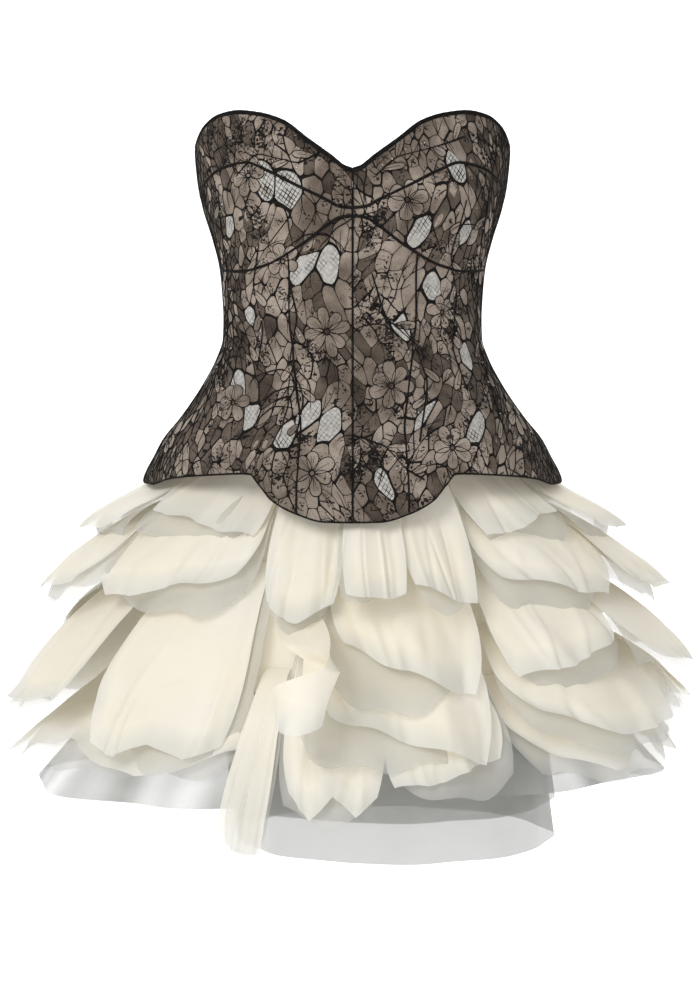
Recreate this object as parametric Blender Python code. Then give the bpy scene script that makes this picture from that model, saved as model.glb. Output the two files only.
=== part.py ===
"""Strapless cocktail dress: a lace bodice with a pointed peplum over a skirt of organza petals.

Metres, +Z up. The wearer faces -Y, so -X is the left of the picture. The origin is the centre of the waist.
Angles are in degrees round +Z from the centre front (0) towards +X (90), with the centre back at 180.
"""

import math

import bpy
import numpy as np

MM = 0.001
SEAM_HALF_GAP = 0.17 * MM
EDGE_HALF_GAP = 0.24 * MM
LACE_WALL = 1.6 * MM
ORGANZA_WALL = 1.1 * MM
SEAT_GAP = 0.3 * MM
# Rounds of settling a point's height against the slanting seams
HEIGHT_STEPS = 12
ZIP_HALF_WIDTH = 3.5 * MM

# Bodice and peplum: outer sections of a general figure
BODY = (
    # height, half width, front depth, back depth
    (-0.185, 0.214, 0.186, 0.184),
    (-0.130, 0.199, 0.166, 0.165),
    (-0.115, 0.191, 0.156, 0.157),
    (-0.098, 0.182, 0.146, 0.147),
    (-0.077, 0.165, 0.130, 0.131),
    (-0.043, 0.142, 0.107, 0.108),
    (-0.019, 0.1295, 0.095, 0.095),
    (0.000, 0.1235, 0.088, 0.088),
    (0.020, 0.1230, 0.087, 0.086),
    (0.041, 0.1240, 0.089, 0.087),
    (0.067, 0.1265, 0.093, 0.090),
    (0.094, 0.1330, 0.099, 0.093),
    (0.125, 0.1425, 0.106, 0.093),
    (0.150, 0.1475, 0.108, 0.093),
    (0.182, 0.1500, 0.106, 0.093),
    (0.215, 0.1470, 0.098, 0.093),
)
CUP_ANGLE = 37.0
CUP_HEIGHT = 0.132
CUP_RISE = 0.015
CUP_SPREAD_ANGLE = 17.0
CUP_SPREAD_HEIGHT = 0.034

# Edges and seams of one half: (angle, height)
NECKLINE = (
    (0, 0.1535), (3, 0.156), (8, 0.166), (16, 0.181), (26, 0.199), (36, 0.2065), (47, 0.2095),
    (58, 0.207), (70, 0.198), (80, 0.187), (90, 0.181), (120, 0.166), (180, 0.150),
)
UPPER_CUP_SEAM = (
    (0, 0.120), (5, 0.1215), (9, 0.127), (19, 0.140), (30, 0.154), (39, 0.162), (50, 0.159),
    (67, 0.148), (90, 0.134),
)
UNDER_BUST_SEAM = ((0, 0.113), (5, 0.1115), (9, 0.106), (21, 0.087), (40, 0.068), (55, 0.063), (90, 0.066))
PEPLUM_HEM = (
    (0, -0.166), (7, -0.1655), (14, -0.159), (21, -0.147), (25, -0.134), (29, -0.124), (41, -0.126),
    (58, -0.131), (70, -0.138), (80, -0.138), (90, -0.131), (120, -0.130), (180, -0.138),
)
# Upright seams: (height, angle)
PRINCESS_SEAM = (
    (-0.166, 14.0), (-0.090, 15.8), (-0.043, 21.5), (-0.020, 25.0), (0.020, 28.7), (0.094, 27.0),
    (0.22, 27.0),
)
BACK_PRINCESS_SEAM = ((-0.140, 148), (0.0, 146), (0.150, 138), (0.22, 138))
CENTRE_FRONT_TRACKS = 4
SIDE_FRONT_TRACKS = 8
SIDE_BACK_TRACKS = 6
BACK_TRACKS = 4
FRONT_ROWS = 13
CUP_ROWS = 5
CUP_BAND_ROWS = 4
BACK_ROWS = 16

BINDING_RADIUS = 1.2 * MM
BINDING_SIDES = 6

# The cone under the petals: the foundation down to its hem, then the line of the flounce
FOUNDATION_HEIGHTS = (0.010, 0.003, -0.020, -0.095, -0.150, -0.205, -0.262, -0.330)
RING_COLUMNS = 40
CONE_SEAT = 0.35 * MM
CONE = (
    # height, half width, front depth, back depth, in straight lines between
    (-0.427, 0.300, 0.196, 0.240),
    (-0.330, 0.228, 0.169, 0.191),
    (-0.020, 0.1255, 0.0910, 0.0910),
    (0.003, 0.1206, 0.0838, 0.0838),
)

# Underskirt layers: (height, centre, half width, front depth, back depth)
UNDERSKIRT_SHAPE = (
    (-0.482, 0.041, 0.1525, 0.148, 0.148),
    (-0.360, 0.030, 0.149, 0.133, 0.138),
    (-0.250, 0.015, 0.141, 0.117, 0.124),
    (-0.100, 0.000, 0.129, 0.097, 0.099),
    (0.000, 0.000, 0.1179, 0.0811, 0.0811),
)
UNDERSKIRTS = (
    # name, hem height, step out, further step out at the hem
    ("underskirt_inner", -0.482, 0.0, 0.0),
    ("underskirt_outer", -0.444, 1.6 * MM, 3 * MM),
)
UNDERSKIRT_ROWS = 4
UNDERSKIRT_WAVES = 8
UNDERSKIRT_WAVE = 2.5 * MM

FLOUNCE_START = 35.0
FLOUNCE_END = 332.0
FLOUNCE_TOP = -0.322
FLOUNCE_HEM = -0.419
FLOUNCE_HEM_TILT = 0.008
FLOUNCE_FOLDS = 12
FLOUNCE_FOLD_DEPTH = 14 * MM
FLOUNCE_COLUMNS = 72
FLOUNCE_ROWS = 4

# Petals
PETAL_COLUMNS = 8
PETAL_ROW_SHARES = (0.0, 0.3, 0.58, 0.82, 1.0)
PETAL_TOP_WIDTH = 0.93
INNER_SPREAD = 0.05
OUTER_SPREAD = 0.45
OUTER_STAND = 8 * MM
HEM_ROUND = 0.24
HEM_ROUND_START = 0.5
CURL_BEND = 2
RIPPLE_BEND = 2
TIER_CUT = 0.28
PETAL_BOW = 20 * MM
HEM_TIER_BOW = 9 * MM
INNER_BOW = 0.35
PANEL_BOW = 14 * MM
FRONT_BOW = 7 * MM
BOW_BEND = 3
POINT_BEND = 1.4
RIPPLES = 17
RIPPLE = 4 * MM
# How a petal stands off the cone from its top edge to its tip
FRONT_BEND = 0.6
DOME_BEND = 2.2
LATE_BEND = 1.4
TIP_DROOP = 9 * MM
TIP_DROOP_BEND = 6
# How far a tier stands off the cone, as a share of its full rise: (azimuth, share)
FULLNESS_TABLE = (
    (-180, 0.8), (-135, 0.9), (-90, 1), (-60, 0.8), (-30, 0.3), (0, 0.3), (30, 0.3), (60, 0.8),
    (90, 1), (135, 0.9), (180, 0.8),
)
TIERS = (
    # name, top, tip, rise at the sides, profile, belly of the outer petals, petal edges round from the
    # front, hem shapes
    ("tier_1", -0.095, -0.182, 0.074, "late", 0.0, (38, 70, 104, 154, 206, 256, 292, 331),
     ("left", "round", "right", "two", "left", "round", "right")),
    ("tier_2", -0.150, -0.240, 0.080, "dome", PETAL_BOW, (38, 74, 112, 154, 200, 246, 290, 330),
     ("right", "round", "two", "left", "round", "round", "left")),
    ("tier_3", -0.205, -0.308, 0.088, "dome", PETAL_BOW, (38, 68, 108, 164, 216, 262),
     ("left", "round", "two", "right", "point")),
    ("tier_4", -0.262, -0.362, 0.083, "dome", PETAL_BOW, (38, 88, 150, 210, 262),
     ("point", "round", "two", "round")),
    ("tier_5", -0.308, -0.397, 0.036, "dome", HEM_TIER_BOW, (38, 108, 180, 252, 331),
     ("two", "point", "right", "two")),
)
# The two long panels at the left, in place of petals of the third and fourth tiers
SIDE_PANELS = (
    # name, edges, top, tip, rise, shape, cut, spread, outer stand, curl of the +X edge
    ("side_panel_back", 262, 299, -0.205, -0.350, 0.088, "left", 0.12, 0.10, 0.0, 16 * MM),
    ("side_panel_front", 299, 331, -0.205, -0.376, 0.084, "two", 0.05, 0.05, 0.0, 0.0),
)
SIDE_CURL_START = 0.65
FRONT_PETALS = (
    # name, edges, top, tip, stand at the tip, shape, cut, spread, outer stand
    ("front_top_left", -26, -2, -0.110, -0.252, 0.050, "point", 0.10, 0.05, 0.0),
    ("front_top_centre", -2, 14, -0.110, -0.232, 0.050, "round", 0.06, 0.35, 9 * MM),
    ("front_top_right", 14, 36, -0.105, -0.240, 0.050, "right", 0.14, 0.05, 0.0),
    ("front_middle", -8, 36, -0.180, -0.322, 0.045, "right", 0.34, 0.05, 0.0),
    ("front_lower", -12, 36, -0.235, -0.378, 0.045, "right", 0.30, 0.05, 0.0),
    ("front_hem_left", -18, 9, -0.285, -0.424, 0.036, "two", 0.14, 0.05, 0.0),
    ("front_hem_right", 9, 36, -0.285, -0.400, 0.036, "left", 0.22, 0.35, 5 * MM),
    ("front_strip", -27.5, -19.5, -0.300, -0.455, 0.047, "right", 0.10, 0.60, 0.0),
)

# The petal at the left of the front column that is rolled up like a bud
ROLL_START = -22.0
ROLL_SWING = 10.5
ROLL_SWING_DONE = 0.5
ROLL_TOP = -0.240
ROLL_TIP = -0.345
ROLL_STAND = 0.057
ROLL_STAND_DONE = 0.35
ROLL_TOP_WIDTH = 28 * MM
ROLL_TIP_WIDTH = 148 * MM
ROLL_TURN = 400.0
ROLL_FREE = 0.1
ROLL_START_BEND = 1.3
ROLL_TIGHTEN = 1.1
ROLL_COLUMNS = 24
ROLL_ROWS = 9
ROLL_CUT = 0.16

# Zip slider and pull
ZIP_ROWS = 16
SLIDER_HEIGHT = 0.138
SLIDER_CLEAR = 0.5 * MM
SLIDER_WIDTH = 8 * MM
SLIDER_LENGTH = 12 * MM
SLIDER_DEPTH = 2.4 * MM
ARCH_WIDTH = 2 * MM
ARCH_OUT = 4.2 * MM
ARCH_THICK = 1 * MM
ARCH_REACH = 3.6 * MM
PULL_BAR = 1.2 * MM
PULL_BAR_OUT = 1.6 * MM
PULL_BAR_UP = 0.5 * MM
PULL_WIDTH = 7 * MM
PULL_SIDE = 1.8 * MM
PULL_WINDOW = 6 * MM
PULL_LENGTH = 26 * MM

LACE = ("black_floral_lace", (0.16, 0.13, 0.11, 1.0), 0.75)
BINDING = ("black_edge_cord", (0.02, 0.02, 0.02, 1.0), 0.7)
ORGANZA = ("ivory_organza", (0.90, 0.86, 0.76, 1.0), 0.6)
NET = ("ivory_underskirt", (0.86, 0.85, 0.80, 1.0), 0.65)
TAPE = ("black_zip_tape", (0.03, 0.03, 0.03, 1.0), 0.8)
METAL = ("dark_zip_metal", (0.12, 0.12, 0.12, 1.0), 0.35)


def smooth_curve(points):
    """A function through the (x, y) points that stays between neighbouring values."""
    xs, ys = np.array(sorted(points), float).T
    steps = np.diff(xs)
    slopes = np.diff(ys) / steps
    tangents = np.concatenate(([slopes[0]], np.zeros(len(xs) - 2), [slopes[-1]]))
    for i in range(1, len(xs) - 1):
        if slopes[i - 1] * slopes[i] > 0:
            near = 2 * steps[i] + steps[i - 1]
            far = steps[i] + 2 * steps[i - 1]
            tangents[i] = (near + far) / (near / slopes[i - 1] + far / slopes[i])

    def value(x):
        x = min(max(x, xs[0]), xs[-1])
        i = int(np.clip(np.searchsorted(xs, x) - 1, 0, len(xs) - 2))
        t = (x - xs[i]) / steps[i]
        rise = t * t * (3 - 2 * t)
        start = t * (1 - t) * (1 - t) * steps[i] * tangents[i]
        end = t * t * (t - 1) * steps[i] * tangents[i + 1]
        return ys[i] * (1 - rise) + ys[i + 1] * rise + start + end

    return value


def section_curves(table):
    """Half width, front depth and back depth as functions of height."""
    return [smooth_curve([(row[0], row[k]) for row in table]) for k in (1, 2, 3)]


BODY_CURVES = section_curves(BODY)
NECK = smooth_curve(NECKLINE)
UPPER_CUP = smooth_curve(UPPER_CUP_SEAM)
UNDER_BUST = smooth_curve(UNDER_BUST_SEAM)
HEM = smooth_curve(PEPLUM_HEM)
PRINCESS = smooth_curve(PRINCESS_SEAM)
BACK_PRINCESS = smooth_curve(BACK_PRINCESS_SEAM)
FULLNESS = smooth_curve(FULLNESS_TABLE)


def figure_point(angle, height):
    """The smooth figure under the cups' rise, at a section angle."""
    half_width, front, back = (curve(height) for curve in BODY_CURVES)
    turn = math.radians(angle)
    depth = front if math.cos(turn) > 0 else back
    return np.array([half_width * math.sin(turn), -depth * math.cos(turn), height])


def figure_normal(angle, height):
    """The figure's outward unit normal, from steps of half a degree and a millimetre."""
    across = figure_point(angle + 0.5, height) - figure_point(angle - 0.5, height)
    up = figure_point(angle, height + MM) - figure_point(angle, height - MM)
    normal = np.cross(across, up)
    return normal / np.linalg.norm(normal)


def cup_rise(angle, height):
    """How far the shaped cup stands out from the figure."""
    off = (abs(angle) - CUP_ANGLE) / CUP_SPREAD_ANGLE
    up = (height - CUP_HEIGHT) / CUP_SPREAD_HEIGHT
    return CUP_RISE * math.exp(-0.5 * (off * off + up * up))


def body_point(angle, height, out=0.0):
    """A point of the bodice's outer face, moved out by a distance."""
    rise = cup_rise(angle, height) + out
    return figure_point(angle, height) + figure_normal(angle, height) * rise


def signed_volume(vertices, triangles):
    """The volume inside the triangles, negative where they face inwards."""
    corners = np.asarray(vertices)[np.asarray(triangles)]
    return np.einsum("ij,ij->i", corners[:, 0], np.cross(corners[:, 1], corners[:, 2])).sum() / 6


def add_object(name, vertices, triangles, finish):
    """One closed solid with its own material, its faces turned outwards."""
    if signed_volume(vertices, triangles) < 0:
        triangles = [face[::-1] for face in triangles]
    mesh = bpy.data.meshes.new(name)
    mesh.from_pydata([tuple(v) for v in vertices], [], [tuple(f) for f in triangles])
    mesh.shade_smooth()
    mesh.set_sharp_from_angle(angle=math.radians(45))
    label, colour, roughness = finish
    material = bpy.data.materials.get(label) or bpy.data.materials.new(label)
    material.use_nodes = True
    shader = material.node_tree.nodes["Principled BSDF"]
    shader.inputs["Base Color"].default_value = colour
    shader.inputs["Roughness"].default_value = roughness
    shader.inputs["Metallic"].default_value = 0.8 if finish is METAL else 0.0
    mesh.materials.append(material)
    item = bpy.data.objects.new(name, mesh)
    bpy.context.scene.collection.objects.link(item)
    return item


def grid_wall(outer, inner, ring=False):
    """Vertices and triangles of the closed wall between two grids of rows by columns."""
    rows, columns = outer.shape[:2]
    vertices = list(outer.reshape(-1, 3)) + list(inner.reshape(-1, 3))

    def at(side, row, column):
        return (side * rows + row) * columns + column % columns

    triangles = []
    spans = columns if ring else columns - 1
    for r in range(rows - 1):
        for c in range(spans):
            for side, turn in ((0, 1), (1, -1)):
                a, b = at(side, r, c), at(side, r, c + 1)
                d, e = at(side, r + 1, c + 1), at(side, r + 1, c)
                triangles += [(a, b, d)[::turn], (a, d, e)[::turn]]
    edge = [((0, c), (0, c + 1), 1) for c in range(spans)]
    edge += [((rows - 1, c), (rows - 1, c + 1), -1) for c in range(spans)]
    if not ring:
        edge += [((r, 0), (r + 1, 0), -1) for r in range(rows - 1)]
        edge += [((r, columns - 1), (r + 1, columns - 1), 1) for r in range(rows - 1)]
    for first, second, turn in edge:
        a, b = at(0, *first), at(0, *second)
        d, e = at(1, *second), at(1, *first)
        triangles += [(a, e, d)[::turn], (a, d, b)[::turn]]
    return vertices, triangles


def grid_normals(grid, ring=False):
    """Unit normals of a grid, out of the side where rows run down and columns run to +X in front."""
    if ring:
        across = np.roll(grid, -1, axis=1) - np.roll(grid, 1, axis=1)
    else:
        across = np.gradient(grid, axis=1)
    down = np.gradient(grid, axis=0)
    normals = np.cross(down, across)
    return normals / np.linalg.norm(normals, axis=2, keepdims=True)


def sheet_inside(name, outer, finish, ring=False):
    """A cloth wall whose outer face is the grid."""
    inner = outer - grid_normals(outer, ring) * ORGANZA_WALL
    return add_object(name, *grid_wall(outer, inner, ring), finish)


def sheet_over(name, inner, finish):
    """A cloth wall that lies on the grid."""
    outer = inner + grid_normals(inner) * ORGANZA_WALL
    return add_object(name, *grid_wall(outer, inner), finish)


# Bodice and peplum


def zip_angle(height):
    """Half the angle of the zip's slot at the centre back."""
    return math.degrees(ZIP_HALF_WIDTH / BODY_CURVES[0](height))


def track_angle(track, height):
    """The angle of an upright line of the bodice at a height; whole numbers run from centre front to zip."""
    seams = (0.0, PRINCESS(height), 90.0, BACK_PRINCESS(height), 180.0 - zip_angle(height))
    counts = (CENTRE_FRONT_TRACKS, SIDE_FRONT_TRACKS, SIDE_BACK_TRACKS, BACK_TRACKS)
    for i, count in enumerate(counts):
        if track <= count or i == len(counts) - 1:
            return seams[i] + (seams[i + 1] - seams[i]) * track / count
        track -= count


def panel_grid(first, last, top, bottom, rows, out):
    """Points of a panel between two tracks and two edges, held back from its neighbours by the seam gaps."""
    grid = np.zeros((rows + 1, last - first + 1, 3))
    for r in range(rows + 1):
        for c, track in enumerate(range(first, last + 1)):
            height = 0.0
            for _ in range(HEIGHT_STEPS):
                angle = track_angle(track, height)
                high = top(angle) - (EDGE_HALF_GAP if top is not NECK else 0.0)
                low = bottom(angle) + (EDGE_HALF_GAP if bottom is not HEM else 0.0)
                height = high + (low - high) * r / rows
            angle = track_angle(track, height)
            aside = math.degrees(SEAM_HALF_GAP / BODY_CURVES[1](height))
            angle += aside * ((track == first) - (track == last))
            grid[r, c] = body_point(angle, height, out)
    return grid


def add_panel(name, first, last, top, bottom, rows):
    """The panel on both halves of the bodice."""
    outer = panel_grid(first, last, top, bottom, rows, 0.0)
    inner = panel_grid(first, last, top, bottom, rows, -LACE_WALL)
    for side, sign in (("left", -1), ("right", 1)):
        flip = np.array([sign, 1, 1])
        add_object(f"{name}_{side}", *grid_wall(outer * flip, inner * flip), LACE)


def build_bodice():
    """The twelve panels; returns the last track, at the zip's edge."""
    princess = CENTRE_FRONT_TRACKS
    side = princess + SIDE_FRONT_TRACKS
    back_princess = side + SIDE_BACK_TRACKS
    back = back_princess + BACK_TRACKS
    add_panel("cup_upper", 0, side, NECK, UPPER_CUP, CUP_BAND_ROWS)
    add_panel("cup_lower", 0, side, UPPER_CUP, UNDER_BUST, CUP_ROWS)
    add_panel("centre_front", 0, princess, UNDER_BUST, HEM, FRONT_ROWS)
    add_panel("side_front", princess, side, UNDER_BUST, HEM, FRONT_ROWS)
    add_panel("side_back", side, back_princess, NECK, HEM, BACK_ROWS)
    add_panel("back", back_princess, back, NECK, HEM, BACK_ROWS)
    return back


def build_binding(last_track):
    """The cord that lies on the whole top edge, from the zip round the front to the zip."""
    centres = []
    for track in range(last_track + 1):
        height = NECK(0.0)
        for _ in range(HEIGHT_STEPS):
            height = NECK(track_angle(track, height))
        angle = track_angle(track, height)
        centres.append(body_point(angle, height, -LACE_WALL / 2))
    centres = np.array(centres)
    mirrored = centres[:0:-1] * np.array([-1, 1, 1])
    path = np.vstack((mirrored, centres))
    tangents = np.gradient(path, axis=0)
    tangents /= np.linalg.norm(tangents, axis=1, keepdims=True)
    above = np.array((0, 0, 1.0)) - tangents * tangents[:, 2:]
    above /= np.linalg.norm(above, axis=1, keepdims=True)
    path = path + above * (SEAT_GAP + BINDING_RADIUS)
    vertices = []
    for point, along in zip(path, tangents):
        aside = np.cross(along, (0, 0, 1))
        aside /= np.linalg.norm(aside)
        up = np.cross(aside, along)
        for k in range(BINDING_SIDES):
            turn = 2 * math.pi * (k + 0.5) / BINDING_SIDES
            vertices.append(point + (aside * math.cos(turn) + up * math.sin(turn)) * BINDING_RADIUS)
    triangles = []
    for i in range(len(path) - 1):
        for k in range(BINDING_SIDES):
            a, b = i * BINDING_SIDES + k, i * BINDING_SIDES + (k + 1) % BINDING_SIDES
            triangles += [(a, b, b + BINDING_SIDES), (a, b + BINDING_SIDES, a + BINDING_SIDES)]
    end = (len(path) - 1) * BINDING_SIDES
    for k in range(1, BINDING_SIDES - 1):
        triangles += [(0, k + 1, k), (end, end + k, end + k + 1)]
    add_object("neck_binding", vertices, triangles, BINDING)


# Organza skirt


def ring_radius(azimuth, half_width, depth):
    """Distance from the axis to an oval of this half width and depth."""
    turn = math.radians(azimuth)
    return half_width * depth / math.hypot(depth * math.sin(turn), half_width * math.cos(turn))


def core_radius(azimuth, height):
    """The cone that the petals hang on: the foundation, and the flounce below it."""
    columns = np.array(sorted(CONE)).T
    half_width, front, back = (np.interp(height, columns[0], column) for column in columns[1:])
    return ring_radius(azimuth, half_width, front if math.cos(math.radians(azimuth)) > 0 else back)


def chord_sag(azimuths, height):
    """How far the flat facets between these azimuths cut inside the cone."""
    radii = [core_radius(azimuth, height) for azimuth in azimuths]
    points = np.array([polar_point(a, r, height) for a, r in zip(azimuths, radii)])
    middles = (points[1:] + points[:-1]) / 2
    true = [core_radius((a + b) / 2, height) for a, b in zip(azimuths[1:], azimuths[:-1])]
    return max(np.array(true) - np.hypot(middles[:, 0], middles[:, 1]))


def polar_point(azimuth, radius, height, centre=0.0):
    turn = math.radians(azimuth)
    return (centre + radius * math.sin(turn), -radius * math.cos(turn), height)


def build_foundation():
    """The plain shaped skirt that the petals are sewn to."""
    azimuths = np.arange(RING_COLUMNS) * 360 / RING_COLUMNS
    grid = [[polar_point(a, core_radius(a, h), h) for a in azimuths] for h in FOUNDATION_HEIGHTS]
    sheet_inside("skirt_foundation", np.array(grid), ORGANZA, ring=True)


def build_underskirts():
    """Two narrow layers whose hems show in front, swung towards +X."""
    azimuths = np.arange(RING_COLUMNS) * 360 / RING_COLUMNS
    for name, hem, out, hem_out in UNDERSKIRTS:
        centre, half_width, front, back = (
            smooth_curve([(row[0], row[k]) for row in UNDERSKIRT_SHAPE]) for k in (1, 2, 3, 4)
        )
        grid = []
        for height in np.linspace(0.0, hem, UNDERSKIRT_ROWS + 1):
            share = height / hem
            row = []
            for azimuth in azimuths:
                depth = front(height) if math.cos(math.radians(azimuth)) > 0 else back(height)
                wave = UNDERSKIRT_WAVE * share * share * math.cos(math.radians(azimuth) * UNDERSKIRT_WAVES)
                radius = ring_radius(azimuth, half_width(height), depth) + out + hem_out * share + wave
                row.append(polar_point(azimuth, radius, height, centre(height)))
            grid.append(row)
        sheet_inside(name, np.array(grid), NET, ring=True)


def build_flounce():
    """The wide layer below the petals, open in front, with folds that deepen to its hem."""
    azimuths = np.linspace(FLOUNCE_START, FLOUNCE_END, FLOUNCE_COLUMNS + 1)
    seat = CONE_SEAT + chord_sag(azimuths, FLOUNCE_TOP)
    grid = []
    for share in np.linspace(0.0, 1.0, FLOUNCE_ROWS + 1):
        row = []
        for azimuth in azimuths:
            hem = FLOUNCE_HEM + FLOUNCE_HEM_TILT * math.sin(math.radians(azimuth))
            height = FLOUNCE_TOP + (hem - FLOUNCE_TOP) * share
            fold = 0.5 - 0.5 * math.cos(math.radians(azimuth - FLOUNCE_START) * FLOUNCE_FOLDS)
            radius = core_radius(azimuth, height) + seat + FLOUNCE_FOLD_DEPTH * share * share * fold
            row.append(polar_point(azimuth, radius, height))
        grid.append(row)
    sheet_over("flounce", np.array(grid), NET)


def hem_share(shape, across, cut):
    """The share of a petal's full length that it has at a place across it."""
    if shape == "point":
        return 1 - cut * abs(2 * across - 1) ** POINT_BEND
    if shape == "left":
        return 1 - cut * across
    if shape == "right":
        return 1 - cut * (1 - across)
    if shape == "two":
        return 1 - cut * abs((2 * across) % 1 * 2 - 1)
    return 1 - cut * (2 * across - 1) ** 2


def stand_share(profile, share):
    """The share of its full stand that a petal has at a share of its length."""
    if profile == "dome":
        return 1 - (1 - share) ** DOME_BEND
    if profile == "late":
        late = share**LATE_BEND
        return late * late * (3 - 2 * late)
    return share**FRONT_BEND


def petal_grid(
    start, end, top, tip, rise, profile, shape, cut, spread, outer, bow, even=False, side=0.0
):
    """A petal's inner face: sewn to the cone along its top edge and standing off it towards its tip.

    The stand follows the tiers' fullness round the skirt, or is even where that is asked for. The middle
    bellies out by bow, the edge on the +X side turns out by side, and the corners of the hem are rounded.
    """
    middle = (start + end) / 2
    half = (end - start) * PETAL_TOP_WIDTH / 2
    seat = CONE_SEAT + chord_sag(np.linspace(middle - half, middle + half, PETAL_COLUMNS + 1), top)
    grid = []
    for v in PETAL_ROW_SHARES:
        rounded = 1 - HEM_ROUND * max(0.0, (v - HEM_ROUND_START) / (1 - HEM_ROUND_START)) ** 2
        row = []
        for u in np.linspace(0.0, 1.0, PETAL_COLUMNS + 1):
            share = v * hem_share(shape, u, cut)
            height = top + (tip - top) * share
            width = (end - start) * (PETAL_TOP_WIDTH + spread * share) * rounded
            azimuth = middle + (u - 0.5) * width
            fullness = 1.0 if even else FULLNESS((azimuth + 180) % 360 - 180)
            ripple = RIPPLE * share**RIPPLE_BEND * math.cos(math.radians(azimuth) * RIPPLES)
            turned = side * share * max(0.0, (u - SIDE_CURL_START) / (1 - SIDE_CURL_START)) ** CURL_BEND
            belly = bow * share**BOW_BEND * (1 - (2 * u - 1) ** 2) + outer * math.sqrt(share)
            stand = rise * fullness * stand_share(profile, share) + belly + ripple + turned
            droop = 0.0 if even else TIP_DROOP * fullness * share**TIP_DROOP_BEND
            radius = core_radius(azimuth, height) + seat + stand - droop
            row.append(polar_point(azimuth, radius, height))
        grid.append(row)
    return np.array(grid)


def build_tiers():
    """Five tiers of petals, every second one wider and standing over its neighbours."""
    for name, top, tip, rise, profile, bow, edges, shapes in TIERS:
        for i, shape in enumerate(shapes):
            outer = i % 2 == 1
            grid = petal_grid(
                edges[i], edges[i + 1], top, tip, rise, profile, shape, TIER_CUT,
                OUTER_SPREAD if outer else INNER_SPREAD, OUTER_STAND if outer else 0.0,
                bow if outer else bow * INNER_BOW,
            )
            sheet_over(f"{name}_petal_{i + 1}", grid, ORGANZA)


def build_side_panels():
    """The long smooth panels at the left front, the one behind with its free edge turned out."""
    for name, start, end, top, tip, rise, shape, cut, spread, outer, side in SIDE_PANELS:
        grid = petal_grid(
            start, end, top, tip, rise, "dome", shape, cut, spread, outer, PANEL_BOW, side=side
        )
        sheet_over(name, grid, ORGANZA)


def build_front_petals():
    """The column of petals at the centre front, between the ends of the tiers."""
    for name, start, end, top, tip, stand, shape, cut, spread, outer in FRONT_PETALS:
        grid = petal_grid(
            start, end, top, tip, stand, "front", shape, cut, spread, outer, FRONT_BOW, even=True
        )
        sheet_over(name, grid, ORGANZA)


def build_rolled_petal():
    """Flat and narrow where it is sewn on; below, it stands out in front and rolls up like a bud."""
    grid = np.zeros((ROLL_ROWS + 1, ROLL_COLUMNS + 1, 3))
    for i, v in enumerate(np.linspace(0.0, 1.0, ROLL_ROWS + 1)):
        azimuth = ROLL_START + ROLL_SWING * min(1.0, v / ROLL_SWING_DONE) ** 2
        turn = math.radians(azimuth)
        out = np.array((math.sin(turn), -math.cos(turn), 0))
        along = np.array((math.cos(turn), math.sin(turn), 0))
        height = ROLL_TOP + (ROLL_TIP - ROLL_TOP) * v
        free = min(1.0, max(0.0, (v - ROLL_FREE) / (1 - ROLL_FREE)))
        rolled = math.radians(ROLL_TURN) * free**ROLL_START_BEND
        step = (ROLL_TOP_WIDTH + (ROLL_TIP_WIDTH - ROLL_TOP_WIDTH) * v) / ROLL_COLUMNS
        stand = ROLL_STAND * min(1.0, v / ROLL_STAND_DONE) ** FRONT_BEND
        start = core_radius(azimuth, height) + CONE_SEAT + stand
        spot = out * start
        cone_turn = ROLL_TOP_WIDTH / start / ROLL_COLUMNS
        for j in range(ROLL_COLUMNS + 1):
            u = j / ROLL_COLUMNS
            drop = (ROLL_TIP - ROLL_TOP) * v * ROLL_CUT * abs(2 * u - 1)
            grid[i, j] = spot + np.array((0, 0, height - drop))
            heading = rolled * (u + 0.5 / ROLL_COLUMNS) ** ROLL_TIGHTEN - cone_turn * j
            spot = spot + (along * math.cos(heading) + out * math.sin(heading)) * step
    return grid


# Centre-back zip


def back_depth(height):
    """The bodice's depth at the centre back."""
    return BODY_CURVES[2](height)


def build_zip_tape():
    """The closed zip's two tapes and coil as one strip in the slot between the back panels."""
    heights = np.linspace(NECK(180.0), HEM(180.0), ZIP_ROWS + 1)
    half = ZIP_HALF_WIDTH - 2 * SEAT_GAP
    outer = np.array([[(x, back_depth(h), h) for x in (half, -half)] for h in heights])
    add_object("zip_tape", *grid_wall(outer, outer - np.array((0, LACE_WALL, 0))), TAPE)


def box_mesh(low, high):
    """Vertices and outward triangles of an upright box."""
    (x0, y0, z0), (x1, y1, z1) = low, high
    vertices = [(x, y, z) for x in (x0, x1) for y in (y0, y1) for z in (z0, z1)]
    quads = ((0, 1, 3, 2), (4, 6, 7, 5), (0, 4, 5, 1), (2, 3, 7, 6), (0, 2, 6, 4), (1, 5, 7, 3))
    return vertices, quads


def add_box(low, high):
    """A box as a guide for a union; it isn't a sub-part."""
    vertices, quads = box_mesh(low, high)
    mesh = bpy.data.meshes.new("box")
    mesh.from_pydata(vertices, [], quads)
    item = bpy.data.objects.new("box", mesh)
    bpy.context.scene.collection.objects.link(item)
    return item


def join_boxes(name, boxes, finish, pivot):
    """One solid from overlapping boxes, with its origin at the pivot."""
    shapes = [add_box(np.subtract(low, pivot), np.subtract(high, pivot)) for low, high in boxes]
    base = shapes[0]
    for other in shapes[1:]:
        union = base.modifiers.new("union", "BOOLEAN")
        union.operation = "UNION"
        union.solver = "EXACT"
        union.object = other
    joined = bpy.data.meshes.new_from_object(base.evaluated_get(bpy.context.evaluated_depsgraph_get()))
    for shape in shapes:
        bpy.data.objects.remove(shape, do_unlink=True)
    vertices = [v.co[:] for v in joined.vertices]
    joined.calc_loop_triangles()
    triangles = [tuple(t.vertices) for t in joined.loop_triangles]
    item = add_object(name, vertices, triangles, finish)
    item.location = pivot
    return item


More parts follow.
